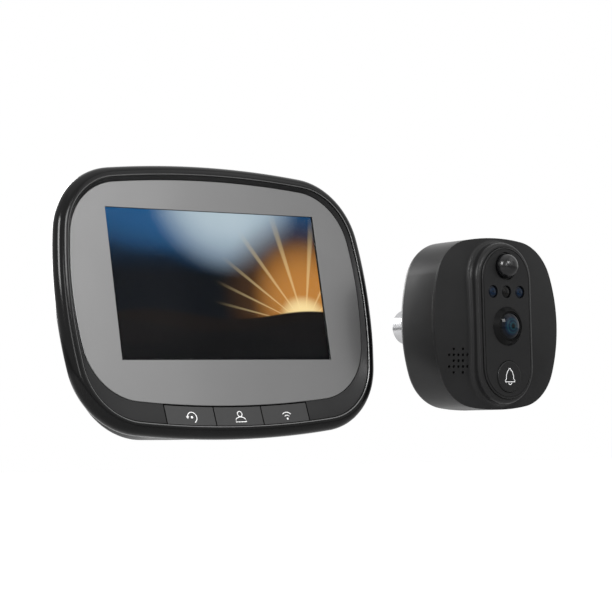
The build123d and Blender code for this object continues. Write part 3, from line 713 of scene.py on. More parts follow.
@dataclass(frozen=True)
class ClearGlass:
    """Clear glass with a trace of tint and of smears."""

    name: str
    colour: Colour = (0.96, 0.97, 0.97)
    pale: Colour = (0.99, 0.99, 0.99)
    smear_size: float = 14 * MM
    smear_roughness: float = 0.03
    bending: float = 1.06

    def material(self) -> bpy.types.Material:
        """Makes the finish.

        Returns:
            The finish as a material.
        """
        made = Shading(self.name)
        smear = made.noise(self.smear_size)
        made.set(
            Base_Color=made.blend(made.spread(smear, 0, 1), self.colour, self.pale),
            Roughness=made.spread(smear, 0.0, self.smear_roughness),
            Transmission_Weight=1.0,
            IOR=self.bending,
        )
        return made.material


NIGHT: Colour = (0.0016, 0.0026, 0.0045)
SKY: Colour = (0.014, 0.085, 0.22)
HAZE: Colour = (0.46, 0.56, 0.62)
DUSK: Colour = (0.07, 0.03, 0.01)
AMBER: Colour = (0.5, 0.21, 0.045)
SUN: Colour = (0.95, 0.74, 0.36)
UNLIT: Colour = (0.002, 0.002, 0.002)


@dataclass(frozen=True)
class Glow:
    """Soft round glow of the picture, in shares of its width and height."""

    middle: tuple[float, float]
    reach: tuple[float, float]
    colour: Colour


@dataclass(frozen=True)
class Hill:
    """Rolling ridge of the picture, in shares of its width and height."""

    base: float
    swell: float
    count: float
    shift: float
    colour: Colour


@dataclass(frozen=True)
class LitPicture:
    """Picture on the lit panel: dawn over rolling hills, in navy, blue, white and amber."""

    name: str
    stand: Stand
    middle: Vector
    width: float
    height: float
    dawn_band: tuple[float, float] = (0.55, 1.3)
    glows: tuple[Glow, ...] = (
        Glow((0.2, 1.08), (0.4, 0.42), SKY),
        Glow((0.52, 1.14), (0.46, 0.6), SKY),
        Glow((0.57, 1.16), (0.4, 0.62), HAZE),
        Glow((0.9, 0.42), (0.42, 0.62), DUSK),
        Glow((0.93, 0.4), (0.3, 0.48), AMBER),
    )
    disc: Glow = Glow((0.9, 0.31), (0.13, 0.15), SUN)
    beam_fade: Glow = Glow((0.88, 0.36), (0.42, 0.7), SUN)
    beam_middle: tuple[float, float] = (0.9, 0.24)
    beam_count: float = 23.0
    beam_strength: float = 0.4
    beam_edge: tuple[float, float] = (0.8, 1.0)
    hills: tuple[Hill, ...] = (
        Hill(0.31, 0.03, 8.0, 0.3, (0.006, 0.0045, 0.004)),
        Hill(0.24, 0.045, 5.6, 2.1, (0.004, 0.0035, 0.0038)),
        Hill(0.15, 0.05, 6.8, 4.4, (0.0028, 0.0028, 0.0032)),
        Hill(0.06, 0.05, 5.0, 1.2, (0.0018, 0.0019, 0.0023)),
    )
    hill_edge: tuple[float, float] = (-0.004, 0.008)

    def material(self) -> bpy.types.Material:
        """Makes the finish.

        Returns:
            The finish as a material.
        """
        made = Shading(self.name)
        right, up, _ = made.parts(made.local(self.stand, self.middle))
        across = made.sum("ADD", made.sum("DIVIDE", right, self.width), 0.5)
        height = made.sum("ADD", made.sum("DIVIDE", up, self.height), 0.5)
        picture = made.blend(made.spread(height, 0, 1, *self.dawn_band), NIGHT, SKY)
        for glow in self.glows:
            picture = made.blend(self.spot(made, across, height, glow), picture, glow.colour)
        picture = made.blend(self.beams(made, across, height), picture, SUN)
        picture = made.blend(self.spot(made, across, height, self.disc), picture, self.disc.colour)
        for hill in self.hills:
            turn = made.sum("ADD", made.sum("MULTIPLY", across, hill.count), hill.shift)
            swing = made.sum("MULTIPLY", made.sum("SINE", turn), hill.swell)
            crest = made.sum("ADD", swing, hill.base)
            inside = made.spread(made.sum("SUBTRACT", crest, height), 0, 1, *self.hill_edge)
            picture = made.blend(inside, picture, hill.colour)
        made.set(
            Base_Color=UNLIT, Roughness=0.5, Specular_IOR_Level=0.02,
            Emission_Color=picture, Emission_Strength=1.0,
        )
        return made.material

    def beams(self, made: Shading, across: Socket, height: Socket) -> Socket:
        """Adds the sunbeams that fan out over the picture.

        Args:
            made: The material's node tree.
            across: Place along the width, from 0 to 1.
            height: Place along the height, from 0 to 1.

        Returns:
            How strong the beams are.
        """
        right, up = self.beam_middle
        turn = made.sum(
            "ARCTAN2", made.sum("SUBTRACT", height, up), made.sum("SUBTRACT", across, right)
        )
        waves = made.sum("SINE", made.sum("MULTIPLY", turn, self.beam_count))
        beam = made.spread(waves, 0, self.beam_strength, *self.beam_edge)
        return made.sum("MULTIPLY", beam, self.spot(made, across, height, self.beam_fade))

    def spot(self, made: Shading, across: Socket, height: Socket, glow: Glow) -> Socket:
        """Returns a glow as a share, 1 in its middle and 0 past its reach."""
        offsets = [
            made.sum("DIVIDE", made.sum("SUBTRACT", place, middle), reach)
            for place, middle, reach in zip((across, height), glow.middle, glow.reach)
        ]
        return made.spread(made.square_sum(*offsets), 1, 0, 0.0, 1.0)


@dataclass(frozen=True)
class LensWithPaintedReflections:
    """Lens painted with rings round its axis: painted reflections of its coloured coating round a
    dark middle of painted shade.
    """

    name: str
    stand: Stand
    middle: Vector
    radius: float
    # Ring colours: coating, fringe and edge are painted reflections, dark is painted shade.
    coating: Colour = (0.0025, 0.009, 0.021)
    fringe_reflection: Colour = (0.005, 0.026, 0.036)
    edge: Colour = (0.002, 0.003, 0.006)
    dark: Colour = (0.0012, 0.0016, 0.0025)
    smear_size: float = 3 * MM
    roughness_range: tuple[float, float] = (0.04, 0.08)
    specular: float = 0.12

    def material(self) -> bpy.types.Material:
        """Makes the finish.

        Returns:
            The finish as a material.
        """
        made = Shading(self.name)
        far = made.reach(made.local(self.stand, self.middle, self.radius))
        rings = self.dark
        # Rings of painted reflection and painted shade, by the distance from the axis.
        for start, end, colour in (
            (0.12, 0.26, self.fringe_reflection), (0.3, 0.36, self.coating), (0.42, 0.5, self.fringe_reflection),
            (0.5, 0.62, self.coating), (0.64, 0.76, self.edge), (0.86, 0.94, self.dark),
        ):
            rings = made.blend(made.spread(far, 0, 1, start, end), rings, colour)
        smear = made.noise(self.smear_size, 2)
        made.set(
            Base_Color=rings, Roughness=made.spread(smear, *self.roughness_range),
            Specular_IOR_Level=self.specular,
        )
        return made.material


@dataclass(frozen=True)
class Foil:
    """Crinkled foil."""

    name: str
    colour: Colour
    crinkle: float = 5 * MM
    depth: float = 0.12 * MM
    dullness: float = 0.8
    roughness_range: tuple[float, float] = (0.22, 0.42)

    def material(self) -> bpy.types.Material:
        """Makes the finish.

        Returns:
            The finish as a material.
        """
        made = Shading(self.name)
        crinkle = made.noise(self.crinkle, 4)
        duller = scaled(self.colour, self.dullness)
        made.set(
            Base_Color=made.blend(crinkle, duller, self.colour),
            Metallic=1.0,
            Roughness=made.spread(crinkle, *self.roughness_range),
        )
        made.relief(crinkle, self.depth)
        return made.material


Recipe = MouldedPlastic | WorkedMetal | CircuitBoard | MirrorGrey | ClearGlass | Foil
Finishes = dict[str, bpy.types.Material]
RECIPES: tuple[Recipe, ...] = (
    MouldedPlastic(
        "rim_gloss", (0.003, 0.003, 0.0031), 0.14, 1.2 * MM, 0.0006 * MM, specular=0.16
    ),
    # Painted highlight: a lighter grey with strong specular for the thin band along the rim's inner
    # edge.
    MouldedPlastic("rim_painted_highlight", (0.05, 0.05, 0.05), 0.2, specular=0.8, edge_radius=0),
    # Near-black strips over the gaps round the keys: painted shade.
    MouldedPlastic("gap_shade_black", (0.0008, 0.0008, 0.0008), 0.8, specular=0.03),
    MouldedPlastic("satin_black", (0.007, 0.007, 0.0072), 0.36),
    MouldedPlastic("key_satin", (0.009, 0.009, 0.0092), 0.4, specular=0.45),
    MouldedPlastic("mouth_black", (0.002, 0.002, 0.0021), 0.3, specular=0.09),
    MouldedPlastic("casing_black", (0.011, 0.011, 0.0112), 0.32, specular=0.15),
    MouldedPlastic("panel_black", (0.006, 0.006, 0.0062), 0.36),
    MouldedPlastic("inner_plastic", (0.03, 0.03, 0.031), 0.55),
    MouldedPlastic("chip", (0.012, 0.012, 0.013), 0.5, 0.08 * MM, 0.006 * MM),
    MouldedPlastic("rubber", (0.018, 0.018, 0.018), 0.75, 0.3 * MM, 0.02 * MM, specular=0.3),
    MouldedPlastic("dome", (0.003, 0.003, 0.0034), 0.2, 2 * MM, 0.0005 * MM, specular=0.35),
    MouldedPlastic("ink", (0.78, 0.78, 0.78), 0.5, 0.1 * MM, 0.002 * MM, 0.03, edge_radius=0),
    WorkedMetal("steel", (0.42, 0.42, 0.42), 0.34),
    WorkedMetal(
        "chrome", (0.5, 0.5, 0.51), 0.17, line_stretch=(1, 1, 1), line_depth=0.0004 * MM
    ),
    CircuitBoard("board"),
    Foil("battery", (0.62, 0.63, 0.65)),
    Foil("copper", (0.72, 0.38, 0.2), 1.5 * MM, 0.02 * MM),
    MirrorGrey("mirror"),
    ClearGlass("clear"),
)


def evenly(start: float, end: float, steps: int) -> list[float]:
    """Divides a length.

    Args:
        start: Where it starts.
        end: Where it ends.
        steps: How many steps it is divided into.

    Returns:
        The places between the steps, both ends with them.
    """
    return [start + (end - start) * step / steps for step in range(steps + 1)]


def dress(material: bpy.types.Material, *nodes: str) -> None:
    """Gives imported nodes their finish.

    Args:
        material: The finish.
        *nodes: Names of the nodes.
    """
    for node in nodes:
        for slot in frame["nodes"][node].material_slots:
            slot.material = material


def arc(
    middle: tuple[float, float], radius: float, start: float, end: float, steps: int = 20
) -> list[tuple[float, float]]:
    """Walks an arc.

    Args:
        middle: Its centre.
        radius: Its radius.
        start: Where it starts, in degrees.
        end: Where it ends, in degrees.
        steps: How many steps it has.

    Returns:
        The arc's points.
    """
    right, up = middle
    angles = [math.radians(angle) for angle in evenly(start, end, steps)]
    return [(right + radius * math.cos(a), up + radius * math.sin(a)) for a in angles]


class Relief:
    """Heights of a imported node's front face, for what is printed or set on it."""

    def __init__(self, node: str, stand: Stand) -> None:
        """Measures the node.

        Args:
            node: Name of the node.
            stand: The unit that it belongs to.
        """
        back = stand.matrix.inverted()
        data = frame["nodes"][node].data
        places = [back @ v.co for v in data.vertices]
        self.tree = BVHTree.FromPolygons(places, [p.vertices for p in data.polygons])
        self.front = max(p.z for p in places)

    def height(self, right: float, up: float) -> float:
        """Measures how far out the face is at a place.

        Args:
            right: Where the place is.
            up: Where the place is.

        Returns:
            The height, that of the front where the face is missed.
        """
        start = Vector((right, up, self.front + RAY_START))
        hit = self.tree.ray_cast(start, Vector((0, 0, -1)))[0]
        return hit.z if hit else self.front


class KeyRow:
    """Height of the keys' faces, carried on over the gaps round them."""

    def __init__(self, stand: Stand, lower: SoftOutline, upper: SoftOutline, margin: float) -> None:
        """Measures the three keys.

        Args:
            stand: The monitor's stand.
            lower: Outline along the gap under the keys.
            upper: Outline along the gap over the keys.
            margin: How far from the gaps a face is measured.
        """
        self.lower = lower
        self.upper = upper
        self.margin = margin
        self.keys = [(stand.extent(node), Relief(node, stand)) for node in KEYS]

    def height(self, right: float, up: float) -> float:
        """Measures the nearest key's face, also beside the key.

        Args:
            right: Where the place is.
            up: Where the place is.

        Returns:
            The height.
        """
        extent, relief = min(self.keys, key=lambda key: abs(key[0].middle.x - right))
        near_right = min(max(right, extent.low.x + self.margin), extent.high.x - self.margin)
        bottom = self.lower.bottom_up(near_right) + self.margin
        top = self.upper.bottom_up(near_right) - self.margin
        return relief.height(near_right, min(max(up, bottom), top))


class Print:
    """Ink of a pictogram, laid on the face of a key or button, and the strips of painted shade over
    the key gaps.
    """

    def __init__(self, middle: tuple[float, float], scale: float, line: float) -> None:
        """Starts an empty print.

        Args:
            middle: Right and up of its middle.
            scale: Length of one unit of the drawing.
            line: Width of its lines.
        """
        self.work = Workpiece()
        self.middle = Vector((*middle, 0))
        self.scale = scale
        self.line = line

    def stroke(self, points: list[tuple[float, float]], closed: bool = False) -> None:
        """Draws a line of even width.

        Args:
            points: The line's points, in units of the drawing.
            closed: Whether it ends where it starts.
        """
        mesh = self.work.mesh
        places = [self.middle + Vector((*p, 0)) * self.scale for p in points]
        verts = [mesh.verts.new(p) for p in places]
        pairs = list(zip(verts, verts[1:])) + ([(verts[-1], verts[0])] if closed else [])
        partners = self.work.extruded(verts, [mesh.edges.new(pair) for pair in pairs])
        count = len(places)
        for number, (vert, partner) in enumerate(zip(verts, partners)):
            before = places[(number - 1) % count] if closed or number else places[0]
            after = places[(number + 1) % count] if closed or number < count - 1 else places[-1]
            along = (after - before).normalized()
            aside = Vector((-along.y, along.x, 0)) * self.line / 2
            vert.co += aside
            partner.co -= aside

    def dot(self, middle: tuple[float, float], radius: float) -> None:
        """Draws a filled dot.

        Args:
            middle: Its middle, in units of the drawing.
            radius: Its radius, in units of the drawing.
        """
        place = self.middle + Vector((*middle, 0)) * self.scale
        bmesh.ops.create_circle(
            self.work.mesh, cap_ends=True, segments=24, radius=radius * self.scale,
            matrix=Matrix.Translation(place),
        )

    def lay(self, relief: Relief | KeyRow, thickness: float) -> Workpiece:
        """Presses the print on a face and gives it its thickness.

        Args:
            relief: The face.
            thickness: How far the ink stands proud.

        Returns:
            The print.
        """
        mesh = self.work.mesh
        for vert in mesh.verts:
            vert.co.z = relief.height(vert.co.x, vert.co.y) - thickness
        made = bmesh.ops.extrude_face_region(mesh, geom=list(mesh.faces))
        raised = [g for g in made["geom"] if isinstance(g, bmesh.types.BMVert)]
        bmesh.ops.translate(mesh, vec=Vector((0, 0, 2 * thickness)), verts=raised)
        return self.work


def mirrored(side: list[tuple[float, float]]) -> list[tuple[float, float]]:
    """Returns the other side of an outline, from its end back to its start."""
    return [(-right, up) for right, up in reversed(side)]


def draw_replay(ink: Print) -> None:
    """Draws an open ring with a dot in it.

    Args:
        ink: The print that it is drawn on.
    """
    ink.stroke(arc((0, 0), 1.0, -70, 178, 30))
    ink.stroke([(-1.26, 0.3), (-1.0, -0.14), (-0.7, 0.26)])
    ink.dot((-0.05, 0.05), 0.24)


def draw_visitor(ink: Print) -> None:
    """Draws a head over shoulders.

    Args:
        ink: The print that it is drawn on.
    """
    ink.stroke(arc((0, 0.48), 0.5, 0, 345, 24), closed=True)
    side = [(-1.2, -1.02), (-0.98, -0.38), (-0.32, -0.1)]
    ink.stroke(side + mirrored(side), closed=True)


def draw_radio(ink: Print) -> None:
    """Draws radio waves over a dot.

    Args:
        ink: The print that it is drawn on.
    """
    for radius in (0.95, 1.7):
        ink.stroke(arc((0, -0.9), radius, 135, 45, 16))
    ink.dot((0, -0.8), 0.26)


def draw_bell(ink: Print) -> None:
    """Draws a bell with its clapper.

    Args:
        ink: The print that it is drawn on.
    """
    side = [
        (-1.0, -0.78), (-0.98, -0.56), (-0.74, -0.36), (-0.72, 0.2), (-0.5, 0.74), (-0.22, 1.0),
        (-0.1, 1.22),
    ]
    ink.stroke(side + mirrored(side), closed=True)
    ink.stroke(arc((0, -0.84), 0.34, 195, 345, 10))


@dataclass(frozen=True)
class Monitor:
    """Indoor unit: glossy rim, dished bezel, cover glass over the picture, and three keys."""

    finishes: Finishes
    stand: Stand
    body: SoftOutline = SoftOutline(139.6 * MM, 102.8 * MM, 398 * MM, 166 * MM, 28 * MM)
    glass: SoftOutline = SoftOutline(128 * MM, 85 * MM, 410 * MM, 133 * MM, 23.2 * MM, 3.1 * MM)
    parting_out: float = 14.5 * MM
    ridge_out: float = 22.1 * MM
    rim_radius: float = 3.7 * MM
    dish_margin: float = 4.2 * MM
    mouth_out: float = 21.75 * MM
    rim_return: float = 2 * MM
    edge_line: float = 0.34 * MM
    edge_share: float = 0.6
    edge_drops: tuple[float, float, float] = (0.01 * MM, 0.06 * MM, 0.14 * MM)
    # Bands of the rim that take the painted highlight.
    painted_highlight_bands: tuple[int, int] = (1, 2)
    groove_width: float = 0.28 * MM
    groove_depth: float = 0.3 * MM
    groove_overlap: float = 0.1 * MM
    groove_break: tuple[float, float] = (0.04 * MM, 0.06 * MM)
    dish_start: float = 0.12 * MM
    dish_slope: float = 0.06
    pocket_lip: tuple[float, float] = (0.1 * MM, 0.02 * MM)
    pocket_break: float = 0.06 * MM
    ledge_drop: float = 1.1 * MM
    ledge_width: float = 2.65 * MM
    ledge_foot: float = 3.1 * MM
    glass_gap: float = 0.15 * MM
    glass_bevel: float = 0.22 * MM
    bevel_share: float = 0.3
    key_band: float = 63.85 * MM
    key_band_up: float = -30 * MM
    key_band_drop: float = 0.5 * MM
    key_wall: float = 3.0 * MM
    key_gap: float = 0.25 * MM
    slack: float = 0.01 * MM
    # Strips of painted shade over the gaps round the keys.
    gap_shade_width: float = 0.42 * MM
    gap_shade_thickness: float = 0.05 * MM
    gap_shade_margin: float = 0.35 * MM
    gap_shade_steps: int = 48
    gap_shade_side_steps: int = 8
    picture_size: tuple[float, float] = (93.6 * MM, 56.16 * MM)
    picture_up: float = 5.8 * MM
    icon_up: float = -43.5 * MM
    icon_shift: float = 0.6 * MM
    icon_line: float = 0.3 * MM

    def build(self) -> None:
        """Makes the monitor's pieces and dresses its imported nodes."""
        self.make_rim()
        self.make_dish()
        self.make_glass()
        self.print_keys()
        self.paint_key_gap_shade()
        finishes = self.finishes
        picture = LitPicture(
            "picture", self.stand, Vector((0, self.picture_up, 0)), *self.picture_size
        )
        dress(picture.material(), "lcd_panel")
        dress(finishes["key_satin"], *KEYS)
        dress(finishes["satin_black"], "power_slider")
        dress(finishes["casing_black"], "rear_housing", "rear_cover")

    def rounding(
        self, out: float, rising: bool, steps: int = 10
    ) -> list[tuple[SoftOutline, float]]:
        """Lists the stations of the rim's rounding.

        Args:
            out: Where the rounding's centre is.
            rising: True for the front rounding, False for the one behind.
            steps: How many stations it has.

        Returns:
            Pairs of an outline and its height.
        """
        stations = []
        for step in range(steps + 1):
            angle = math.radians(90 * step / steps)
            inward = self.rim_radius * (1 - (math.cos(angle) if rising else math.sin(angle)))
            lift = self.rim_radius * (math.sin(angle) if rising else -math.cos(angle))
            stations.append((self.body.grown(-inward), out + lift))
        return stations

    def make_rim(self) -> None:
        """Makes the glossy rim, from the parting line over its rounding into the groove.

        The bands of its skin are counted back from the groove, whose wall is band 0. The bands at
        its inner edge take a lighter grey, a painted highlight.
        """
        groove_out = self.mouth_out - self.groove_depth
        stations = [(self.body.grown(-self.rim_radius - self.rim_return), self.parting_out)]
        stations += self.rounding(self.parting_out + self.rim_radius, False)
        stations += self.rounding(self.ridge_out - self.rim_radius, True)
        edge = self.dish_margin - self.edge_line
        insets = (edge, edge + self.edge_share * self.edge_line, self.dish_margin)
        for inset, drop in zip(insets, self.edge_drops):
            stations.append((self.body.grown(-inset), self.ridge_out - drop))
        stations.append((self.body.grown(-self.dish_margin), groove_out - self.groove_overlap))
        work = Workpiece()
        work.sweep(stations)
        # The bands at the rim's inner edge take the lighter grey of the painted highlight.
        for number, face in enumerate(work.mesh.faces):
            band = len(stations) - 2 - number // self.body.count
            face.material_index = 1 if band in self.painted_highlight_bands else 0
        rim = work.finish(
            "rim", self.stand, Body.DISPLAY, "rim_gloss", self.finishes["rim_gloss"],
            self.finishes["rim_painted_highlight"], smooth_below=50,
        )
        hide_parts("front_frame")

    def make_dish(self) -> None:
        """Makes the satin dish from the groove to the glass, with its opening for the keys."""
        pocket = self.glass.grown(self.glass_gap)
        ledge = pocket.grown(-self.ledge_width)
        glass_out = self.stand.front("screen_glass")
        groove = self.body.grown(-self.dish_margin)
        inner = groove.grown(-self.groove_width)
        groove_out = self.mouth_out - self.groove_depth
        start_out = self.mouth_out - (self.mouth_out - glass_out) * self.dish_slope
        inward, drop = self.groove_break
        lip, lip_rise = self.pocket_lip
        work = Workpiece()
        work.sweep([
            (groove, groove_out),
            (inner, groove_out),
            (inner.grown(-inward), start_out - drop),
            (inner.grown(-self.dish_start), start_out),
            (pocket.grown(lip), glass_out + lip_rise),
            (pocket, glass_out - self.pocket_break),
            (pocket, glass_out - self.ledge_drop),
            (ledge, glass_out - self.ledge_drop),
            (ledge, glass_out - self.ledge_foot),
        ])
        for side in (-1, 1):
            work.cut(Vector((side * self.key_band / 2, 0, 0)), Vector((1, 0, 0)))
        self.open_for_keys(work, glass_out)
        dish = work.finish(
            "dish", self.stand, Body.DISPLAY, "satin_black", self.finishes["satin_black"]
        )
        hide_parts("front_frame")

    def open_for_keys(self, work: Workpiece, glass_out: float) -> None:
        """Takes the dish away between the key band's ends and gives the opening its walls.

        Args:
            work: The dish so far.
            glass_out: Height of the glass.
        """
        half = self.key_band / 2
        low = glass_out - self.key_band_drop
        doomed = []
        for face in work.mesh.faces:
            middle = face.calc_center_median()
            in_band = abs(middle.x) < half and middle.y < self.key_band_up and middle.z > low
            if in_band and not self.over_pocket(middle):
                doomed.append(face)
        bmesh.ops.delete(work.mesh, geom=doomed, context="FACES")
        borders = []
        for edge in work.mesh.edges:
            middle = (edge.verts[0].co + edge.verts[1].co) / 2
            in_band = abs(middle.x) < half + self.slack and middle.y < self.key_band_up
            if edge.is_boundary and in_band and middle.z > low:
                borders.append(edge)
        made = bmesh.ops.extrude_edge_only(work.mesh, edges=borders)
        lowered = [g for g in made["geom"] if isinstance(g, bmesh.types.BMVert)]
        for vert in lowered:
            vert.co.z = glass_out - self.key_wall

    def over_pocket(self, place: Vector) -> bool:
        """Tells whether a place belongs to the pocket of the glass or to what lies under it."""
        edge = self.glass.grown(self.glass_gap + 2 * self.slack)
        return place.y > edge.bottom_up(place.x)

    def make_glass(self) -> None:
        """Makes the cover glass: a grey half-mirror round a clear window over the picture."""
        top = self.stand.front("screen_glass")
        bottom = self.stand.extent("screen_glass").low.z
        bevel = self.glass_bevel
        shoulder = self.bevel_share * bevel
        work = Workpiece()
        work.sweep([
            (self.glass, bottom),
            (self.glass, top - bevel),
            (self.glass.grown(-shoulder), top - shoulder),
            (self.glass.grown(-bevel), top),
        ])
        rims = [e for e in work.mesh.edges if e.is_boundary]
        bmesh.ops.holes_fill(work.mesh, edges=rims, sides=0)
        half_width, half_height = (side / 2 for side in self.picture_size)
        for side in (-1, 1):
            work.cut(Vector((side * half_width, 0, 0)), Vector((1, 0, 0)))
            work.cut(Vector((0, self.picture_up + side * half_height, 0)), Vector((0, 1, 0)))
        for face in work.mesh.faces:
            middle = face.calc_center_median()
            beside = abs(middle.x) > half_width or abs(middle.y - self.picture_up) > half_height
            face.material_index = 0 if beside else 1
        glass = work.finish(
            "cover_glass", self.stand, Body.DISPLAY, "cover_glass", self.finishes["mirror"],
            self.finishes["clear"], smooth_below=12,
        )
        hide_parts("screen_glass")

    def paint_key_gap_shade(self) -> None:
        """Lays thin black strips over the gaps round the keys: painted shade where the gaps look
        dark.
        """
        extents = [self.stand.extent(node) for node in KEYS]
        half = self.key_gap / 2
        lower = self.body.grown(-self.dish_margin - half)
        upper = self.glass.grown(self.glass_gap + half)
        sides = [extents[0].low.x - half] + [extent.high.x + half for extent in extents]
        rim = self.gap_shade_width / 2
        along = evenly(sides[0] - rim, sides[-1] + rim, self.gap_shade_steps)
        shade_strips = Print((0, 0), 1.0, self.gap_shade_width)
        for outline in (lower, upper):
            shade_strips.stroke([(right, outline.bottom_up(right)) for right in along])
        for right in sides:
            bottom, top = lower.bottom_up(right) + rim, upper.bottom_up(right) - rim
            shade_strips.stroke([(right, up) for up in evenly(bottom, top, self.gap_shade_side_steps)])
        row = KeyRow(self.stand, lower, upper, self.gap_shade_margin)
        work = shade_strips.lay(row, self.gap_shade_thickness)
        work.finish(
            "key_gap_shade", self.stand, Body.DISPLAY, "seal_rubber", self.finishes["gap_shade_black"]
        )

    def print_keys(self) -> None:
        """Prints a pictogram on each key."""
        rows = (
            ("left_key", Body.LEFT_KEY, draw_replay, 2.0 * MM),
            ("centre_key", Body.CENTRE_KEY, draw_visitor, 2.0 * MM),
            ("right_key", Body.RIGHT_KEY, draw_radio, 1.55 * MM),
        )
        for node, body, draw, scale in rows:
            middle = self.stand.extent(node).middle
            ink = Print((middle.x + self.icon_shift, self.icon_up), scale, self.icon_line)
            draw(ink)
            work = ink.lay(Relief(node, self.stand), INK_THICKNESS)
            work.finish(f"{node}_print", self.stand, body, "satin_black", self.finishes["ink"])


@dataclass(frozen=True)
class OutdoorUnit:
    """Street side: casing, stadium panel, camera, night lights, motion sensor and bell button."""

    finishes: Finishes
    stand: Stand
    window_pitch: float = 7.05 * MM
    window_up: float = 12.1 * MM
    window_radius: float = 2.45 * MM
    window_sag: float = 0.5 * MM
    window_bevel: tuple[float, float] = (0.12 * MM, 0.15 * MM)
    window_rim: float = 0.3 * MM
    lens_up: float = -1.3 * MM
    lens_radius: float = 5.6 * MM
    lens_ring: float = 0.45 * MM
    lens_ring_bevel: float = 0.1 * MM
    lens_ring_break: float = 0.12 * MM
    lens_ring_depth: float = 0.6 * MM
    lens_sag: float = 1.6 * MM
    lens_sink: float = 0.2 * MM
    lens_gap: float = 0.05 * MM
    lens_steps: int = 16
    bell_up: float = -20.8 * MM
    bell_scale: float = 2.6 * MM
    bell_line: float = 0.3 * MM

    def build(self) -> None:
        """Makes the outdoor unit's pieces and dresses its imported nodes."""
        finishes = self.finishes
        dress(finishes["casing_black"], "front_shell", "back_shell")
        dress(finishes["panel_black"], "front_panel", "bell_button")
        dress(finishes["mouth_black"], "lens_bezel")
        dress(finishes["dome"], "pir_dome")
        dress(finishes["chrome"], "entry_barrel")
        dress(finishes["rubber"], "seam_gasket", "door_pad")
        dress(finishes["steel"], "shell_screws")
        self.make_windows()
        self.make_lens()
        self.print_bell()

    def turn(
        self, profile: list[tuple[float, float]], right: float, up: float, steps: int = 64
    ) -> Workpiece:
        """Spins a profile round an axis that points out.

        Args:
            profile: Radius and height of its points.
            right: Where the axis is.
            up: Where the axis is.
            steps: Steps of the spin.

        Returns:
            The turned shape.
        """
        work = Workpiece()
        verts = [work.mesh.verts.new((right + radius, up, out)) for radius, out in profile]
        edges = [work.mesh.edges.new(pair) for pair in zip(verts, verts[1:])]
        bmesh.ops.spin(
            work.mesh, geom=verts + edges, cent=(right, up, 0), axis=(0, 0, 1),
            angle=2 * math.pi, steps=steps, use_merge=True,
        )
        work.merge()
        return work

    def dome(
        self, radius: float, foot: float, rise: float, steps: int = 10
    ) -> list[tuple[float, float]]:
        """Lists the profile of a shallow dome, from its edge to its top.

        Args:
            radius: Radius of its edge.
            foot: Height of its edge.
            rise: How much higher its top is.
            steps: Steps of the profile.

        Returns:
            Radius and height of the points.
        """
        ball = (radius**2 + rise**2) / (2 * rise)
        half = math.asin(radius / ball)
        angles = evenly(half, 0, steps)
        return [(ball * math.sin(a), foot + rise - ball * (1 - math.cos(a))) for a in angles]

    def make_windows(self) -> None:
        """Makes the two night lights and the light sensor's window, each with its collar."""
        # The windows take the same rings of painted reflection round painted shade: blue for the
        # night lights, grey for the light sensor's window.
        blue = ((0.002, 0.004, 0.009), (0.003, 0.014, 0.036))
        plain = ((0.002, 0.002, 0.002), (0.009, 0.008, 0.0075))
        inset, drop = self.window_bevel
        rows = (
            ("night_light_left", -1, blue),
            ("light_window", 0, plain),
            ("night_light_right", 1, blue),
        )
        for name, column, (coating, fringe_reflection) in rows:
            node = "led_lenses" if column else "sensor_window"
            extent = self.stand.extent(node)
            right = column * self.window_pitch
            middle = Vector((right, self.window_up, 0))
            radius, floor = self.window_radius, extent.low.z
            finish = LensWithPaintedReflections(name, self.stand, middle, radius, coating, fringe_reflection, coating)
            foot = extent.high.z - self.window_sag
            profile = [(0, floor), (radius, floor), (radius, foot - drop), (radius - inset, foot)]
            profile += self.dome(radius - self.window_rim, foot, extent.high.z - foot)
            work = self.turn(profile, right, self.window_up, 48)
            piece = work.finish(name, self.stand, Body.DOOR_SIDE, "lens_glass", finish.material())
            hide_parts(node)

    def make_lens(self) -> None:
        """Makes the camera's domed lens and the ring that holds it."""
        extent = self.stand.extent("lens_glass")
        floor, rim, top = extent.low.z, extent.high.z - self.lens_sag, extent.high.z
        radius = self.lens_radius
        seat = radius - self.lens_ring
        bevel = self.lens_ring_bevel
        profile = [
            (radius, floor), (radius, rim - bevel), (radius - bevel, rim), (seat + bevel, rim),
            (seat, rim - self.lens_ring_break), (seat, rim - self.lens_ring_depth),
        ]
        ring = self.turn(profile, 0, self.lens_up)
        holder = ring.finish(
            "lens_ring", self.stand, Body.DOOR_SIDE, "satin_black", self.finishes["mouth_black"]
        )
        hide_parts("lens_glass")
        # The lens's rings are painted reflections round a middle of painted shade.
        finish = LensWithPaintedReflections("front_lens", self.stand, Vector((0, self.lens_up, 0)), seat)
        foot = rim - self.lens_sink
        inner = seat - self.lens_gap
        profile = [(0, floor), (inner, floor)] + self.dome(inner, foot, top - foot, self.lens_steps)
        lens = self.turn(profile, 0, self.lens_up)
        piece = lens.finish(
            "front_lens", self.stand, Body.DOOR_SIDE, "lens_glass", finish.material()
        )
        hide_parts("lens_glass")

    def print_bell(self) -> None:
        """Prints the bell on its button."""
        ink = Print((0, self.bell_up), self.bell_scale, self.bell_line)
        draw_bell(ink)
        work = ink.lay(Relief("bell_button", self.stand), INK_THICKNESS)
        work.finish("bell_print", self.stand, Body.BELL, "satin_black", self.finishes["ink"])


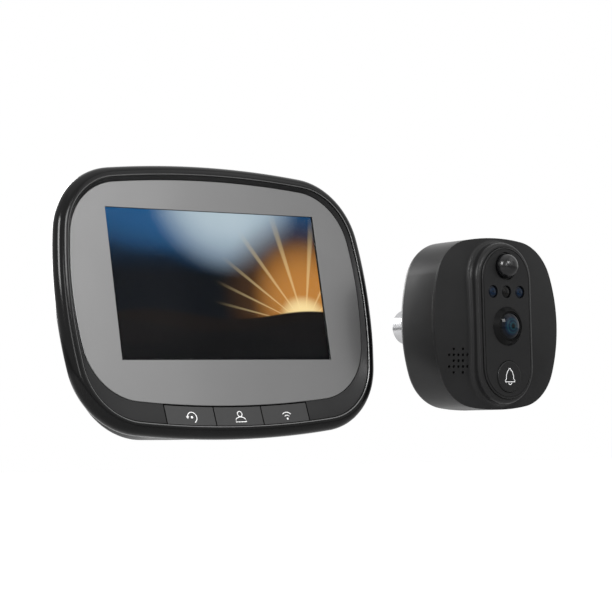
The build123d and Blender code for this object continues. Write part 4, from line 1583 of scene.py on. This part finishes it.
@dataclass(frozen=True)
class Innards:
    """What is inside both units, and the metalwork behind the monitor."""

    finishes: Finishes

    def build(self) -> None:
        """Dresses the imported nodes."""
        finishes = self.finishes
        dress(
            finishes["inner_plastic"], "mid_frame", "power_switch", "card_slot", "ribbon_socket",
            "cable_socket", "indoor_speaker", "outdoor_speaker", "lens_holder", "lens_barrel",
            "bell_switch", "key_switches",
        )
        dress(finishes["board"], "main_board", "key_board", "outdoor_board")
        dress(finishes["chip"], "board_chips", "image_sensor", "light_sensor", "ir_emitters")
        dress(
            finishes["steel"], "wall_plate", "plate_hooks", "board_screws", "housing_screws",
            "processor_shield", "usb_port", "indoor_microphone", "outdoor_microphone", "pir_sensor",
        )
        dress(finishes["chrome"], "clamp_tube")
        dress(finishes["battery"], "battery_pack")
        dress(finishes["copper"], "wifi_antenna")


@dataclass(frozen=True)
class SoftBox:
    """Rectangular soft lamp that points at a place."""

    name: str
    place: Vector
    aim: Vector
    width: float
    height: float
    brightness: float

    def hang(self) -> None:
        """Makes the lamp."""
        data = bpy.data.lights.new(self.name, "AREA")
        data.shape = "RECTANGLE"
        data.size = self.width
        data.size_y = self.height
        data.energy = self.brightness * math.pi * self.width * self.height
        lamp = bpy.data.objects.new(self.name, data)
        bpy.context.scene.collection.objects.link(lamp)
        lamp.location = self.place
        lamp.visible_camera = False
        lamp.rotation_euler = (self.aim - self.place).to_track_quat("-Z", "Y").to_euler()


@dataclass(frozen=True)
class Studio:
    """Pale floor, white surround, soft lamps and the camera."""

    floor_up: float = -0.13
    floor_size: float = 6.0
    floor_colours: tuple[Colour, Colour] = ((0.6, 0.6, 0.6), (0.62, 0.62, 0.62))
    floor_grain: float = 40 * MM
    floor_roughness: float = 0.7
    floor_glow: float = 0.85
    eye: Vector = Vector((-0.43339, -0.63076, -0.04001))
    eye_right: Vector = Vector((0.79190, -0.61018, -0.02390))
    eye_up: Vector = Vector((-0.01437, -0.05774, 0.99822))
    lens: float = 119.86
    sensor: float = 36.0
    nearest: float = 0.01
    farthest: float = 50.0
    ambient: float = 0.4

    def build(self) -> None:
        """Sets the studio up."""
        self.lay_floor()
        self.surround()
        monitor, street = Vector((0, -0.02, 0)), Vector((0.11, -0.05, 0))
        for box in (
            SoftBox("overhead", Vector((0.0, -0.15, 0.9)), monitor, 0.8, 0.6, 0.4),
            SoftBox("left_high", Vector((-0.74, -0.22, 0.41)), monitor, 0.22, 0.36, 26),
            SoftBox("left_back", Vector((-0.04, 0.58, 0.19)), street, 0.42, 0.36, 9),
            SoftBox("front_high", Vector((0.01, -0.475, 0.27)), street, 0.14, 0.14, 18),
            SoftBox("front_left", Vector((-0.3, -0.62, 0.17)), street, 0.1, 0.3, 8),
            SoftBox("front_right", Vector((0.22, -0.5, 0.21)), monitor, 0.2, 0.25, 1.1),
            SoftBox("right_high", Vector((0.33, -0.37, 0.45)), monitor, 0.4, 0.3, 1.0),
        ):
            box.hang()
        self.set_camera()

    def lay_floor(self) -> None:
        """Lays the pale floor."""
        mesh = bmesh.new()
        bmesh.ops.create_circle(mesh, cap_ends=True, segments=96, radius=self.floor_size / 2)
        bmesh.ops.translate(mesh, vec=Vector((0, 0, self.floor_up)), verts=mesh.verts)
        data = bpy.data.meshes.new("floor")
        mesh.to_mesh(data)
        mesh.free()
        made = Shading("floor")
        grain = made.spread(made.noise(self.floor_grain), 0, 1)
        path = made.nodes.new("ShaderNodeLightPath")
        made.set(
            Base_Color=made.blend(grain, *self.floor_colours),
            Roughness=self.floor_roughness,
            Emission_Color=(1, 1, 1),
            Emission_Strength=made.sum("MULTIPLY", path.outputs["Is Camera Ray"], self.floor_glow),
        )
        data.materials.append(made.material)
        floor = bpy.data.objects.new("floor", data)
        bpy.context.scene.collection.objects.link(floor)

    def surround(self) -> None:
        """Makes the white surround, which is dimmer as a light than it looks."""
        world = bpy.data.worlds.new("surround")
        bpy.context.scene.world = world
        world.use_nodes = True
        nodes, links = world.node_tree.nodes, world.node_tree.links
        background = nodes["Background"]
        background.inputs["Color"].default_value = (1, 1, 1, 1)
        path = nodes.new("ShaderNodeLightPath")
        seen = path.outputs["Is Camera Ray"]
        for other in ("Is Glossy Ray", "Is Transmission Ray"):
            joined = nodes.new("ShaderNodeMath")
            joined.operation = "MAXIMUM"
            links.new(seen, joined.inputs[0])
            links.new(path.outputs[other], joined.inputs[1])
            seen = joined.outputs[0]
        strength = nodes.new("ShaderNodeMapRange")
        strength.inputs["To Min"].default_value = self.ambient
        strength.inputs["To Max"].default_value = 1.0
        links.new(seen, strength.inputs["Value"])
        links.new(strength.outputs["Result"], background.inputs["Strength"])

    def set_camera(self) -> None:
        """Sets the camera where the picture was taken from."""
        data = bpy.data.cameras.new("camera")
        data.lens = self.lens
        data.sensor_width = self.sensor
        data.clip_start = self.nearest
        data.clip_end = self.farthest
        camera = bpy.data.objects.new("camera", data)
        bpy.context.scene.collection.objects.link(camera)
        back = self.eye_right.cross(self.eye_up)
        turned = Matrix((self.eye_right, self.eye_up, back)).transposed().to_4x4()
        camera.matrix_world = Matrix.Translation(self.eye) @ turned
        bpy.context.scene.camera = camera


def main() -> None:
    """Builds the set and its studio, and logs where both units stand."""
    logging.basicConfig(level=logging.INFO, format="%(message)s")
    bpy.context.scene.view_settings.view_transform = "Standard"
    finishes = {recipe.name: recipe.material() for recipe in RECIPES}
    indoor, street = indoor_stand(), street_stand()
    log.info("monitor at %s, outdoor unit at %s", tuple(indoor.origin), tuple(street.origin))
    Monitor(finishes, indoor).build()
    OutdoorUnit(finishes, street).build()
    Innards(finishes).build()
    Studio().build()


if __name__ == "__main__":
    main()
